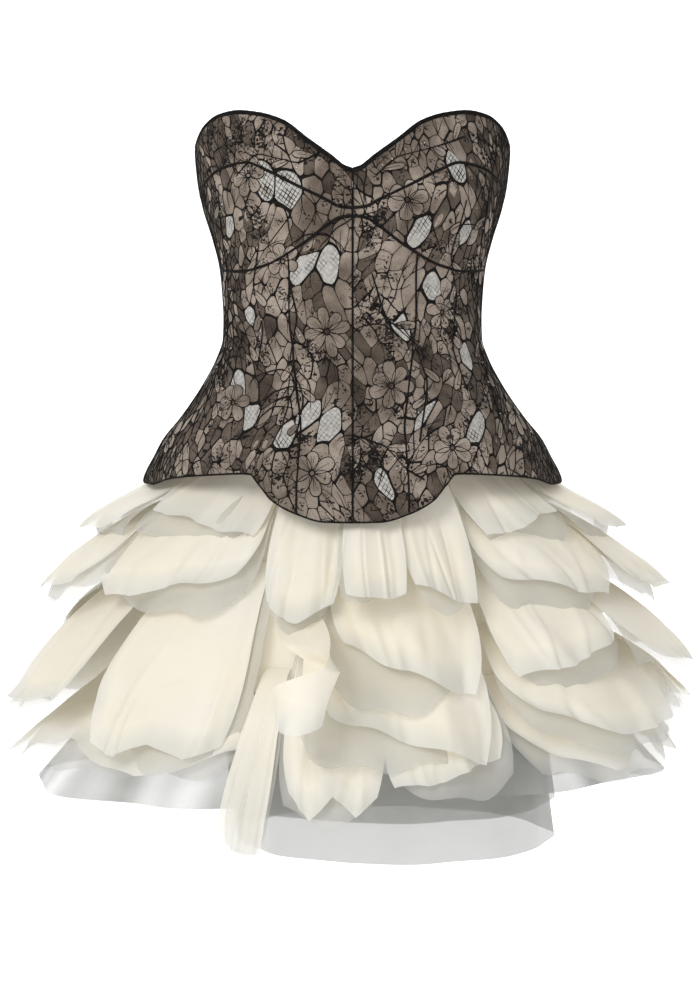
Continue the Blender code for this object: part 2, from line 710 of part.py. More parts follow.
def build_slider():
    """The slider on the zip, with the arch that the pull hangs on, and the hinged pull."""
    face = back_depth(SLIDER_HEIGHT) + SLIDER_CLEAR
    top = face + SLIDER_DEPTH
    pivot = (0.0, top + PULL_BAR_OUT, SLIDER_HEIGHT + PULL_BAR_UP)
    arch = ARCH_WIDTH / 2
    arch_top = top + ARCH_OUT
    low, high = SLIDER_HEIGHT - SLIDER_LENGTH / 2, SLIDER_HEIGHT + SLIDER_LENGTH / 2
    foot_low, foot_high = pivot[2] - ARCH_REACH, pivot[2] + ARCH_REACH
    join_boxes(
        "zip_slider",
        (
            ((-SLIDER_WIDTH / 2, face, low), (SLIDER_WIDTH / 2, top, high)),
            ((-arch, top - MM, foot_low), (arch, arch_top, foot_low + ARCH_THICK)),
            ((-arch, top - MM, foot_high - ARCH_THICK), (arch, arch_top, foot_high)),
            ((-arch, arch_top - ARCH_THICK, foot_low), (arch, arch_top, foot_high)),
        ),
        METAL,
        (0.0, top, SLIDER_HEIGHT),
    )
    bar = PULL_BAR / 2
    side, reach = PULL_WIDTH / 2, pivot[2] - PULL_LENGTH
    inner = side - PULL_SIDE
    window = pivot[2] - PULL_WINDOW
    join_boxes(
        "zip_pull",
        (
            ((-side, pivot[1] - bar, pivot[2] - bar), (side, pivot[1] + bar, pivot[2] + bar)),
            ((-side, pivot[1] - bar, window - MM), (-inner, pivot[1] + bar, pivot[2])),
            ((inner, pivot[1] - bar, window - MM), (side, pivot[1] + bar, pivot[2])),
            ((-side, pivot[1] - bar, reach), (side, pivot[1] + bar, window)),
        ),
        METAL,
        pivot,
    )


def clear_scene():
    """Leaves no object from the start-up scene."""
    for item in list(bpy.data.objects):
        bpy.data.objects.remove(item, do_unlink=True)


def main():
    """Builds each sub-part of the dress."""
    clear_scene()
    last_track = build_bodice()
    build_binding(last_track)
    build_foundation()
    build_underskirts()
    build_flounce()
    build_tiers()
    build_side_panels()
    build_front_petals()
    sheet_over("rolled_petal", build_rolled_petal(), ORGANZA)
    build_zip_tape()
    build_slider()


main()
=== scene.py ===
"""Dresses the cocktail dress: corded lace over the bodice and layered ivory organza in the skirt.

Metres, +Z up. The wearer faces -Y, so -X is the left of the picture. Angles are in degrees round +Z
from the centre front (0) towards +X (90), with the centre back at 180.
"""

import math

import bpy
import numpy as np
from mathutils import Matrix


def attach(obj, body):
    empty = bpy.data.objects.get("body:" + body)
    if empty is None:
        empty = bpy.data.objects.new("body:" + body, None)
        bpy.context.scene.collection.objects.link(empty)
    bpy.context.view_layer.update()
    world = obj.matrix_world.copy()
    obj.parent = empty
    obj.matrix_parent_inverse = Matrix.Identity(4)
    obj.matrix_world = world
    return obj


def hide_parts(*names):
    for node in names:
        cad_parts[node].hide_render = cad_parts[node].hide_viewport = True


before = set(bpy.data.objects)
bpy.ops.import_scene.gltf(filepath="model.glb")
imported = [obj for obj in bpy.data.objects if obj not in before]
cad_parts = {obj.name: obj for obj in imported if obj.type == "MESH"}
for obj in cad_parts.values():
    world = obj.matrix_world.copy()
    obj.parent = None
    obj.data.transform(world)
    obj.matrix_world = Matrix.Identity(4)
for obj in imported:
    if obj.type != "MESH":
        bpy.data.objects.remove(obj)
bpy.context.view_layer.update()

MM = 0.001
DRESS = "dress"

# The cut of the bodice and skirt, as in the part's source
SEAM_HALF_GAP = 0.17 * MM
EDGE_HALF_GAP = 0.24 * MM
LACE_WALL = 1.6 * MM
ORGANZA_WALL = 1.1 * MM
SEAT_GAP = 0.3 * MM
ZIP_HALF_WIDTH = 3.5 * MM
# Rounds of settling a point's height against the slanting seams
HEIGHT_STEPS = 12

# Bodice and peplum: outer sections of a general figure
BODY = (
    # height, half width, front depth, back depth
    (-0.185, 0.214, 0.186, 0.184),
    (-0.130, 0.199, 0.166, 0.165),
    (-0.115, 0.191, 0.156, 0.157),
    (-0.098, 0.182, 0.146, 0.147),
    (-0.077, 0.165, 0.130, 0.131),
    (-0.043, 0.142, 0.107, 0.108),
    (-0.019, 0.1295, 0.095, 0.095),
    (0.000, 0.1235, 0.088, 0.088),
    (0.020, 0.1230, 0.087, 0.086),
    (0.041, 0.1240, 0.089, 0.087),
    (0.067, 0.1265, 0.093, 0.090),
    (0.094, 0.1330, 0.099, 0.093),
    (0.125, 0.1425, 0.106, 0.093),
    (0.150, 0.1475, 0.108, 0.093),
    (0.182, 0.1500, 0.106, 0.093),
    (0.215, 0.1470, 0.098, 0.093),
)
CUP_ANGLE = 37.0
CUP_HEIGHT = 0.132
CUP_RISE = 0.015
CUP_SPREAD_ANGLE = 17.0
CUP_SPREAD_HEIGHT = 0.034

# Edges and seams of one half: (angle, height)
NECKLINE = (
    (0, 0.1535), (3, 0.156), (8, 0.166), (16, 0.181), (26, 0.199), (36, 0.2065), (47, 0.2095),
    (58, 0.207), (70, 0.198), (80, 0.187), (90, 0.181), (120, 0.166), (180, 0.150),
)
UPPER_CUP_SEAM = (
    (0, 0.120), (5, 0.1215), (9, 0.127), (19, 0.140), (30, 0.154), (39, 0.162), (50, 0.159),
    (67, 0.148), (90, 0.134),
)
UNDER_BUST_SEAM = ((0, 0.113), (5, 0.1115), (9, 0.106), (21, 0.087), (40, 0.068), (55, 0.063), (90, 0.066))
PEPLUM_HEM = (
    (0, -0.166), (7, -0.1655), (14, -0.159), (21, -0.147), (25, -0.134), (29, -0.124), (41, -0.126),
    (58, -0.131), (70, -0.138), (80, -0.138), (90, -0.131), (120, -0.130), (180, -0.138),
)
# Upright seams: (height, angle)
PRINCESS_SEAM = (
    (-0.166, 14.0), (-0.090, 15.8), (-0.043, 21.5), (-0.020, 25.0), (0.020, 28.7), (0.094, 27.0),
    (0.22, 27.0),
)
BACK_PRINCESS_SEAM = ((-0.140, 148), (0.0, 146), (0.150, 138), (0.22, 138))
CENTRE_FRONT_TRACKS = 4
SIDE_FRONT_TRACKS = 8
SIDE_BACK_TRACKS = 6
BACK_TRACKS = 4

BINDING_RADIUS = 1.2 * MM

# The cone under the petals: the foundation down to its hem, then the line of the flounce
FOUNDATION_HEIGHTS = (0.010, 0.003, -0.020, -0.095, -0.150, -0.205, -0.262, -0.330)
RING_COLUMNS = 40
CONE_SEAT = 0.35 * MM
CONE = (
    # height, half width, front depth, back depth, in straight lines between
    (-0.427, 0.300, 0.196, 0.240),
    (-0.330, 0.228, 0.169, 0.191),
    (-0.020, 0.1255, 0.0910, 0.0910),
    (0.003, 0.1206, 0.0838, 0.0838),
)

# Underskirt layers: (height, centre, half width, front depth, back depth)
UNDERSKIRT_SHAPE = (
    (-0.482, 0.041, 0.1525, 0.148, 0.148),
    (-0.360, 0.030, 0.149, 0.133, 0.138),
    (-0.250, 0.015, 0.141, 0.117, 0.124),
    (-0.100, 0.000, 0.129, 0.097, 0.099),
    (0.000, 0.000, 0.1179, 0.0811, 0.0811),
)
UNDERSKIRTS = (
    # name, hem height, step out, further step out at the hem
    ("underskirt_inner", -0.482, 0.0, 0.0),
    ("underskirt_outer", -0.444, 1.6 * MM, 3 * MM),
)
UNDERSKIRT_WAVES = 8
UNDERSKIRT_WAVE = 2.5 * MM

FLOUNCE_START = 35.0
FLOUNCE_END = 332.0
FLOUNCE_TOP = -0.322
FLOUNCE_HEM = -0.419
FLOUNCE_HEM_TILT = 0.008
FLOUNCE_FOLDS = 12
FLOUNCE_FOLD_DEPTH = 14 * MM
FLOUNCE_COLUMNS = 72

# Petals
PETAL_COLUMNS = 8
PETAL_TOP_WIDTH = 0.93
INNER_SPREAD = 0.05
OUTER_SPREAD = 0.45
OUTER_STAND = 8 * MM
HEM_ROUND = 0.24
HEM_ROUND_START = 0.5
CURL_BEND = 2
RIPPLE_BEND = 2
TIER_CUT = 0.28
PETAL_BOW = 20 * MM
HEM_TIER_BOW = 9 * MM
INNER_BOW = 0.35
PANEL_BOW = 14 * MM
FRONT_BOW = 7 * MM
BOW_BEND = 3
POINT_BEND = 1.4
RIPPLES = 17
RIPPLE = 4 * MM
# How a petal stands off the cone from its top edge to its tip
FRONT_BEND = 0.6
DOME_BEND = 2.2
LATE_BEND = 1.4
TIP_DROOP = 9 * MM
TIP_DROOP_BEND = 6
# How far a tier stands off the cone, as a share of its full rise: (azimuth, share)
FULLNESS_TABLE = (
    (-180, 0.8), (-135, 0.9), (-90, 1), (-60, 0.8), (-30, 0.3), (0, 0.3), (30, 0.3), (60, 0.8),
    (90, 1), (135, 0.9), (180, 0.8),
)
TIERS = (
    # name, top, tip, rise at the sides, profile, belly of the outer petals, petal edges round from the
    # front, hem shapes
    ("tier_1", -0.095, -0.182, 0.074, "late", 0.0, (38, 70, 104, 154, 206, 256, 292, 331),
     ("left", "round", "right", "two", "left", "round", "right")),
    ("tier_2", -0.150, -0.240, 0.080, "dome", PETAL_BOW, (38, 74, 112, 154, 200, 246, 290, 330),
     ("right", "round", "two", "left", "round", "round", "left")),
    ("tier_3", -0.205, -0.308, 0.088, "dome", PETAL_BOW, (38, 68, 108, 164, 216, 262),
     ("left", "round", "two", "right", "point")),
    ("tier_4", -0.262, -0.362, 0.083, "dome", PETAL_BOW, (38, 88, 150, 210, 262),
     ("point", "round", "two", "round")),
    ("tier_5", -0.308, -0.397, 0.036, "dome", HEM_TIER_BOW, (38, 108, 180, 252, 331),
     ("two", "point", "right", "two")),
)
# The two long panels at the left, in place of petals of the third and fourth tiers
SIDE_PANELS = (
    # name, edges, top, tip, rise, shape, cut, spread, outer stand, curl of the +X edge
    ("side_panel_back", 262, 299, -0.205, -0.350, 0.088, "left", 0.12, 0.10, 0.0, 16 * MM),
    ("side_panel_front", 299, 331, -0.205, -0.376, 0.084, "two", 0.05, 0.05, 0.0, 0.0),
)
SIDE_CURL_START = 0.65
FRONT_PETALS = (
    # name, edges, top, tip, stand at the tip, shape, cut, spread, outer stand
    ("front_top_left", -26, -2, -0.110, -0.252, 0.050, "point", 0.10, 0.05, 0.0),
    ("front_top_centre", -2, 14, -0.110, -0.232, 0.050, "round", 0.06, 0.35, 9 * MM),
    ("front_top_right", 14, 36, -0.105, -0.240, 0.050, "right", 0.14, 0.05, 0.0),
    ("front_middle", -8, 36, -0.180, -0.322, 0.045, "right", 0.34, 0.05, 0.0),
    ("front_lower", -12, 36, -0.235, -0.378, 0.045, "right", 0.30, 0.05, 0.0),
    ("front_hem_left", -18, 9, -0.285, -0.424, 0.036, "two", 0.14, 0.05, 0.0),
    ("front_hem_right", 9, 36, -0.285, -0.400, 0.036, "left", 0.22, 0.35, 5 * MM),
    ("front_strip", -27.5, -19.5, -0.300, -0.455, 0.047, "right", 0.10, 0.60, 0.0),
)

# The petal at the left of the front column that is rolled up like a bud
ROLL_START = -22.0
ROLL_SWING = 10.5
ROLL_SWING_DONE = 0.5
ROLL_TOP = -0.240
ROLL_TIP = -0.345
ROLL_STAND = 0.057
ROLL_STAND_DONE = 0.35
ROLL_TOP_WIDTH = 28 * MM
ROLL_TIP_WIDTH = 148 * MM
ROLL_TURN = 400.0
ROLL_FREE = 0.1
ROLL_START_BEND = 1.3
ROLL_TIGHTEN = 1.1
ROLL_COLUMNS = 24
ROLL_ROWS = 9
ROLL_CUT = 0.16


def smooth_curve(points):
    """A function through the (x, y) points that stays between neighbouring values; takes arrays."""
    xs, ys = np.array(sorted(points), float).T
    steps = np.diff(xs)
    slopes = np.diff(ys) / steps
    tangents = np.concatenate(([slopes[0]], np.zeros(len(xs) - 2), [slopes[-1]]))
    for i in range(1, len(xs) - 1):
        if slopes[i - 1] * slopes[i] > 0:
            near = 2 * steps[i] + steps[i - 1]
            far = steps[i] + 2 * steps[i - 1]
            tangents[i] = (near + far) / (near / slopes[i - 1] + far / slopes[i])

    def value(x):
        x = np.clip(x, xs[0], xs[-1])
        i = np.clip(np.searchsorted(xs, x) - 1, 0, len(xs) - 2)
        t = (x - xs[i]) / steps[i]
        rise = t * t * (3 - 2 * t)
        start = t * (1 - t) * (1 - t) * steps[i] * tangents[i]
        end = t * t * (t - 1) * steps[i] * tangents[i + 1]
        return ys[i] * (1 - rise) + ys[i + 1] * rise + start + end

    return value


def section_curves(table):
    """Half width, front depth and back depth as functions of height."""
    return [smooth_curve([(row[0], row[k]) for row in table]) for k in (1, 2, 3)]


BODY_CURVES = section_curves(BODY)
NECK = smooth_curve(NECKLINE)
UPPER_CUP = smooth_curve(UPPER_CUP_SEAM)
UNDER_BUST = smooth_curve(UNDER_BUST_SEAM)
HEM = smooth_curve(PEPLUM_HEM)
PRINCESS = smooth_curve(PRINCESS_SEAM)
BACK_PRINCESS = smooth_curve(BACK_PRINCESS_SEAM)
FULLNESS = smooth_curve(FULLNESS_TABLE)


def figure_point(angle, height):
    """The smooth figure under the cups' rise, at section angles and heights."""
    half_width, front, back = (curve(height) for curve in BODY_CURVES)
    turn = np.radians(angle)
    depth = np.where(np.cos(turn) > 0, front, back)
    return np.stack([half_width * np.sin(turn), -depth * np.cos(turn), height + 0 * turn], axis=-1)


def body_point(angle, height, out=0.0):
    """Points of the bodice's outer face, moved out by a distance."""
    angle, height = np.broadcast_arrays(np.asarray(angle, float), np.asarray(height, float))
    across = figure_point(angle + 0.5, height) - figure_point(angle - 0.5, height)
    up = figure_point(angle, height + MM) - figure_point(angle, height - MM)
    normal = np.cross(across, up)
    normal /= np.linalg.norm(normal, axis=-1, keepdims=True)
    off = (np.abs(angle) - CUP_ANGLE) / CUP_SPREAD_ANGLE
    above = (height - CUP_HEIGHT) / CUP_SPREAD_HEIGHT
    rise = CUP_RISE * np.exp(-0.5 * (off * off + above * above)) + out
    return figure_point(angle, height) + normal * np.asarray(rise)[..., None]


def zip_angle(height):
    """Half the angle of the zip's slot at the centre back."""
    return np.degrees(ZIP_HALF_WIDTH / BODY_CURVES[0](height))


def track_angle(track, height):
    """The angle of an upright line of the bodice; whole numbers run from centre front to zip."""
    seams = (0.0, PRINCESS(height), 90.0, BACK_PRINCESS(height), 180.0 - zip_angle(height))
    counts = (CENTRE_FRONT_TRACKS, SIDE_FRONT_TRACKS, SIDE_BACK_TRACKS, BACK_TRACKS)
    for i, count in enumerate(counts):
        if track <= count or i == len(counts) - 1:
            return seams[i] + (seams[i + 1] - seams[i]) * track / count
        track -= count


def ring_radius(azimuth, half_width, depth):
    """Distance from the axis to an oval of this half width and depth."""
    turn = math.radians(azimuth)
    return half_width * depth / math.hypot(depth * math.sin(turn), half_width * math.cos(turn))


CONE_COLUMNS = np.array(sorted(CONE)).T


def core_radius(azimuth, height):
    """The cone that the petals hang on: the foundation, and the flounce below it."""
    half_width, front, back = (np.interp(height, CONE_COLUMNS[0], column) for column in CONE_COLUMNS[1:])
    return ring_radius(azimuth, half_width, front if math.cos(math.radians(azimuth)) > 0 else back)


def polar_point(azimuth, radius, height, centre=0.0):
    turn = math.radians(azimuth)
    return (centre + radius * math.sin(turn), -radius * math.cos(turn), height)


def chord_sag(azimuths, height):
    """How far the flat facets between these azimuths cut inside the cone."""
    radii = [core_radius(azimuth, height) for azimuth in azimuths]
    points = np.array([polar_point(a, r, height) for a, r in zip(azimuths, radii)])
    middles = (points[1:] + points[:-1]) / 2
    true = [core_radius((a + b) / 2, height) for a, b in zip(azimuths[1:], azimuths[:-1])]
    return max(np.array(true) - np.hypot(middles[:, 0], middles[:, 1]))


def grid_normals(grid, ring=False):
    """Unit normals of a grid, out of the side where rows run down and columns run to +X in front."""
    if ring:
        across = np.roll(grid, -1, axis=1) - np.roll(grid, 1, axis=1)
    else:
        across = np.gradient(grid, axis=1)
    down = np.gradient(grid, axis=0)
    normals = np.cross(down, across)
    return normals / np.maximum(np.linalg.norm(normals, axis=2, keepdims=True), 1e-9)


def hem_share(shape, across, cut):
    """The share of a petal's full length that it has at a place across it."""
    if shape == "point":
        return 1 - cut * abs(2 * across - 1) ** POINT_BEND
    if shape == "left":
        return 1 - cut * across
    if shape == "right":
        return 1 - cut * (1 - across)
    if shape == "two":
        return 1 - cut * abs((2 * across) % 1 * 2 - 1)
    return 1 - cut * (2 * across - 1) ** 2


def stand_share(profile, share):
    """The share of its full stand that a petal has at a share of its length."""
    if profile == "dome":
        return 1 - (1 - share) ** DOME_BEND
    if profile == "late":
        late = share**LATE_BEND
        return late * late * (3 - 2 * late)
    return share**FRONT_BEND


# Meshes and pieces


def new_mesh(name, vertices, faces, material, uvs=None, smooth=True):
    """An object from vertices and faces; uvs holds one pair for each vertex."""
    mesh = bpy.data.meshes.new(name)
    mesh.from_pydata(np.asarray(vertices, float).tolist(), [], faces)
    if smooth:
        mesh.shade_smooth()
    if uvs is not None:
        layer = mesh.uv_layers.new(name="cloth")
        index = np.zeros(len(mesh.loops), dtype=np.int32)
        mesh.loops.foreach_get("vertex_index", index)
        layer.data.foreach_set("uv", np.asarray(uvs, float)[index].ravel())
    mesh.materials.append(material)
    item = bpy.data.objects.new(name, mesh)
    bpy.context.scene.collection.objects.link(item)
    return item


def grid_faces(rows, columns, ring=False):
    """Quads over a grid of points; a ring joins its last column to its first."""
    spans = columns if ring else columns - 1
    faces = []
    for r in range(rows - 1):
        for c in range(spans):
            after = (c + 1) % columns
            this, below = r * columns, (r + 1) * columns
            faces.append((this + c, this + after, below + after, below + c))
    return [face[::-1] for face in faces]


def grid_lengths(grid):
    """Distances along the grid, across and down, for laying out the weave."""
    across = np.zeros(grid.shape[:2])
    across[:, 1:] = np.cumsum(np.linalg.norm(np.diff(grid, axis=1), axis=2), axis=1)
    down = np.zeros(grid.shape[:2])
    down[1:] = np.cumsum(np.linalg.norm(np.diff(grid, axis=0), axis=2), axis=0)
    return across, down


def add_sheet(
    name, grid, material, nodes=(), ring=False, layers=1, length=None
):
    """A thin shell of cloth on a grid, declared with the size it was cut to."""
    if ring:
        grid = np.concatenate((grid, grid[:, :1]), axis=1)
    across, down = grid_lengths(grid)
    across = across - across.mean(axis=1, keepdims=True)
    uvs = np.stack([across, down], axis=-1).reshape(-1, 2) * 10
    item = new_mesh(name, grid.reshape(-1, 3), grid_faces(*grid.shape[:2]), material, uvs)
    width = float(np.ptp(across, axis=1).max())
    length = length or float(down[-1].max())
    corners = grid[:-1, :-1], grid[:-1, 1:], grid[1:, 1:], grid[1:, :-1]
    diagonals = corners[2] - corners[0], corners[3] - corners[1]
    area = float(np.linalg.norm(np.cross(*diagonals), axis=2).sum() / 2)
    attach(item, DRESS)
    if nodes:
        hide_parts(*nodes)
    CLOTH[name] = (width, length, area * layers)
    return item


def set_shares(item, shares):
    """Keeps a value from 0 to 1 at each point, which the cloth's colour and sheerness follow: a petal's
    single sheer layer at its free edges, and on the flounce bands of painted fold shade.
    """
    layer = item.data.attributes.new("sheer_edge_and_fold_shade", "FLOAT", "POINT")
    layer.data.foreach_set("value", np.ascontiguousarray(shares, np.float32).ravel())


def add_detail(item, body=DRESS, nodes=()):
    """A piece that isn't a sheet rides on its body and hides the solids it stands for."""
    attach(item, body)
    if nodes:
        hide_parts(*nodes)
    return item


CLOTH = {}


# Materials


def new_material(name):
    material = bpy.data.materials.new(name)
    material.use_nodes = True
    tree = material.node_tree
    return material, tree.nodes, tree.links, tree.nodes["Principled BSDF"]


def add_node(nodes, kind, values=None, **settings):
    node = nodes.new(kind)
    for key, value in settings.items():
        setattr(node, key, value)
    for key, value in (values or {}).items():
        node.inputs[key].default_value = value
    return node


def set_ramp(ramp, stops):
    """Places the ramp's colours: (position, colour)."""
    elements = ramp.color_ramp.elements
    while len(elements) > 2:
        elements.remove(elements[-1])
    for i, (position, colour) in enumerate(stops):
        element = elements[i] if i < 2 else elements.new(position)
        element.position = position
        element.color = (*colour, 1.0)


def weave_bump(nodes, links, scale, strength, distance):
    """Two crossed sets of threads laid along the cloth's own directions."""
    place = add_node(nodes, "ShaderNodeTexCoord")
    total = add_node(nodes, "ShaderNodeMath", operation="ADD")
    for i, direction in enumerate(("X", "Y")):
        wave = add_node(
            nodes, "ShaderNodeTexWave", {"Scale": scale, "Distortion": 0.6, "Detail": 1.0},
            wave_type="BANDS", bands_direction=direction,
        )
        links.new(place.outputs["UV"], wave.inputs["Vector"])
        links.new(wave.outputs["Fac"], total.inputs[i])
    bump = add_node(nodes, "ShaderNodeBump", {"Strength": strength, "Distance": distance})
    links.new(total.outputs[0], bump.inputs["Height"])
    return bump


def organza_material(name, warm, cool, hem, alphas, roughness, painted_glow=0.0):
    """Sheer crisp silk: ivory that drifts between two tones, greyer and clearer in a single layer; on the
    flounce the same blend lays bands of painted fold shade. painted_glow is a faint warm emission, painted
    light that lifts the shade between the layers.
    """
    material, nodes, links, shader = new_material(name)
    place = add_node(nodes, "ShaderNodeTexCoord")
    drift = add_node(nodes, "ShaderNodeTexNoise", {"Scale": 9.0, "Detail": 3.0, "Roughness": 0.5})
    links.new(place.outputs["Object"], drift.inputs["Vector"])
    tones = add_node(nodes, "ShaderNodeValToRGB")
    set_ramp(tones, ((0.35, warm), (0.65, cool)))
    links.new(drift.outputs["Fac"], tones.inputs["Fac"])
    edge = add_node(nodes, "ShaderNodeAttribute")
    edge.attribute_name = "sheer_edge_and_fold_shade"
    mixed = add_node(nodes, "ShaderNodeMix", {7: (*hem, 1.0)}, data_type="RGBA")
    links.new(edge.outputs["Fac"], mixed.inputs[0])
    links.new(tones.outputs["Color"], mixed.inputs[6])
    links.new(mixed.outputs[2], shader.inputs["Base Color"])
    sheer = add_node(nodes, "ShaderNodeMapRange", {"To Min": alphas[0], "To Max": alphas[1]})
    links.new(edge.outputs["Fac"], sheer.inputs["Value"])
    links.new(sheer.outputs["Result"], shader.inputs["Alpha"])
    wrinkles = add_node(nodes, "ShaderNodeTexNoise", {"Scale": 24.0, "Detail": 2.0, "Distortion": 0.5})
    links.new(place.outputs["Object"], wrinkles.inputs["Vector"])
    threads = weave_bump(nodes, links, 90.0, 0.10, 0.0002)
    soft = add_node(nodes, "ShaderNodeBump", {"Strength": 0.30, "Distance": 0.008})
    links.new(wrinkles.outputs["Fac"], soft.inputs["Height"])
    links.new(threads.outputs["Normal"], soft.inputs["Normal"])
    links.new(soft.outputs["Normal"], shader.inputs["Normal"])
    shader.inputs["Roughness"].default_value = roughness
    shader.inputs["Sheen Weight"].default_value = 0.12
    shader.inputs["Sheen Roughness"].default_value = 0.4
    shader.inputs["Specular IOR Level"].default_value = 0.3
    # A faint warm emission: painted glow that lifts the shade between the ivory layers, though the cloth is
    # no lamp.
    shader.inputs["Emission Color"].default_value = (1.0, 0.95, 0.82, 1.0)
    shader.inputs["Emission Strength"].default_value = painted_glow
    return material


def lace_ground_material(name, light, dark, speck):
    """Taupe cloth behind fine black net: mottled, with small sprigs of black thread, and large soft blotches
    of painted shade.
    """
    material, nodes, links, shader = new_material(name)
    place = add_node(nodes, "ShaderNodeTexCoord")
    mottle = add_node(nodes, "ShaderNodeTexNoise", {"Scale": 46.0, "Detail": 4.0, "Roughness": 0.6})
    links.new(place.outputs["Object"], mottle.inputs["Vector"])
    tones = add_node(nodes, "ShaderNodeValToRGB")
    set_ramp(tones, ((0.32, dark), (0.62, light)))
    links.new(mottle.outputs["Fac"], tones.inputs["Fac"])
    net = add_node(nodes, "ShaderNodeTexVoronoi", {"Scale": 900.0}, feature="DISTANCE_TO_EDGE")
    links.new(place.outputs["Object"], net.inputs["Vector"])
    mesh_lines = add_node(nodes, "ShaderNodeValToRGB")
    set_ramp(mesh_lines, ((0.02, (0.55, 0.55, 0.55)), (0.12, (1.0, 1.0, 1.0))))
    links.new(net.outputs["Distance"], mesh_lines.inputs["Fac"])
    netted = add_node(nodes, "ShaderNodeMix", {0: 1.0}, data_type="RGBA", blend_type="MULTIPLY")
    links.new(tones.outputs["Color"], netted.inputs[6])
    links.new(mesh_lines.outputs["Color"], netted.inputs[7])
    sprigs = add_node(nodes, "ShaderNodeTexNoise", {"Scale": 210.0, "Detail": 2.0, "Distortion": 1.6})
    links.new(place.outputs["Object"], sprigs.inputs["Vector"])
    patches = add_node(nodes, "ShaderNodeTexNoise", {"Scale": 30.0, "Detail": 1.0})
    links.new(place.outputs["Object"], patches.inputs["Vector"])
    both = add_node(nodes, "ShaderNodeMath", operation="MULTIPLY")
    links.new(sprigs.outputs["Fac"], both.inputs[0])
    links.new(patches.outputs["Fac"], both.inputs[1])
    where = add_node(nodes, "ShaderNodeValToRGB")
    set_ramp(where, ((0.325, (0.0, 0.0, 0.0)), (0.36, (1.0, 1.0, 1.0))))
    links.new(both.outputs[0], where.inputs["Fac"])
    mixed = add_node(nodes, "ShaderNodeMix", {7: (*speck, 1.0)}, data_type="RGBA")
    links.new(where.outputs["Color"], mixed.inputs[0])
    links.new(netted.outputs[2], mixed.inputs[6])
    # Painted shade: large soft blotches that darken the cloth to half its tone.
    shade_blotches = add_node(nodes, "ShaderNodeTexNoise", {"Scale": 17.0, "Detail": 2.0, "Distortion": 0.8})
    links.new(place.outputs["Object"], shade_blotches.inputs["Vector"])
    painted_shade_tones = add_node(nodes, "ShaderNodeValToRGB")
    set_ramp(painted_shade_tones, ((0.36, (0.50, 0.48, 0.46)), (0.58, (1.0, 1.0, 1.0))))
    links.new(shade_blotches.outputs["Fac"], painted_shade_tones.inputs["Fac"])
    blotch_shaded = add_node(nodes, "ShaderNodeMix", {0: 1.0}, data_type="RGBA", blend_type="MULTIPLY")
    links.new(mixed.outputs[2], blotch_shaded.inputs[6])
    links.new(painted_shade_tones.outputs["Color"], blotch_shaded.inputs[7])
    links.new(blotch_shaded.outputs[2], shader.inputs["Base Color"])
    bump = add_node(nodes, "ShaderNodeBump", {"Strength": 0.35, "Distance": 0.0003})
    links.new(net.outputs["Distance"], bump.inputs["Height"])
    links.new(bump.outputs["Normal"], shader.inputs["Normal"])
    shader.inputs["Roughness"].default_value = 0.85
    shader.inputs["Specular IOR Level"].default_value = 0.2
    return material


def cord_material(name, dark, light, roughness):
    """Twisted thread with a slight gloss: fine bands across noise."""
    material, nodes, links, shader = new_material(name)
    place = add_node(nodes, "ShaderNodeTexCoord")
    tone = add_node(nodes, "ShaderNodeTexNoise", {"Scale": 320.0, "Detail": 2.0})
    links.new(place.outputs["Object"], tone.inputs["Vector"])
    tones = add_node(nodes, "ShaderNodeValToRGB")
    set_ramp(tones, ((0.35, dark), (0.7, light)))
    links.new(tone.outputs["Fac"], tones.inputs["Fac"])
    links.new(tones.outputs["Color"], shader.inputs["Base Color"])
    bump = add_node(nodes, "ShaderNodeBump", {"Strength": 0.4, "Distance": 0.0002})
    links.new(tone.outputs["Fac"], bump.inputs["Height"])
    links.new(bump.outputs["Normal"], shader.inputs["Normal"])
    shader.inputs["Roughness"].default_value = roughness
    shader.inputs["Specular IOR Level"].default_value = 0.18
    return material


# The ivory cloth carries a faint painted glow, painted light that lifts its shade.
IVORY = organza_material(
    "ivory_organza_cloth", (0.92, 0.855, 0.70), (0.92, 0.88, 0.78), (0.84, 0.83, 0.77), (0.97, 0.72), 0.6,
    0.07
)
VEIL = organza_material(
    "sheer_petal_organza", (0.78, 0.75, 0.65), (0.80, 0.78, 0.71), (0.66, 0.66, 0.62), (0.62, 0.45), 0.55
)
SHEER = organza_material(
    "sheer_hem_organza", (0.34, 0.34, 0.32), (0.38, 0.38, 0.36), (0.34, 0.34, 0.33), (0.66, 0.58), 0.5
)
# The flounce's cloth: its darker, more opaque tone is painted fold shade, and its lighter tone is the clear
# single layer.
FOLDED = organza_material(
    "sheer_folded_organza", (0.30, 0.30, 0.28), (0.34, 0.34, 0.32), (0.46, 0.46, 0.44), (0.86, 0.48), 0.5
)
GROUND = lace_ground_material(
    "taupe_lace_ground", (0.50, 0.42, 0.35), (0.28, 0.222, 0.18), (0.015, 0.012, 0.010)
)
# A shaded copy of the lace ground: painted shade for the cells it fills, more of them towards the sides.
GROUND_SHADE = lace_ground_material(
    "taupe_lace_shade", (0.20, 0.158, 0.125), (0.09, 0.07, 0.055), (0.012, 0.010, 0.009)
)
GROUND_LIGHT = lace_ground_material(
    "taupe_lace_light", (0.50, 0.42, 0.355), (0.37, 0.305, 0.25), (0.05, 0.04, 0.035)
)
CORD = cord_material("black_lace_cord", (0.004, 0.0035, 0.003), (0.018, 0.015, 0.013), 0.85)
EDGE = cord_material("black_edge_cord_thread", (0.004, 0.004, 0.004), (0.016, 0.014, 0.013), 0.8)
WINDOW = cord_material("white_net_window", (0.44, 0.42, 0.39), (0.64, 0.62, 0.58), 0.8)
ZIP_BLACK = cord_material("black_zip_weave", (0.006, 0.006, 0.006), (0.020, 0.020, 0.020), 0.8)
BEAD = cord_material("pearly_bead", (0.62, 0.61, 0.60), (0.85, 0.85, 0.84), 0.18)


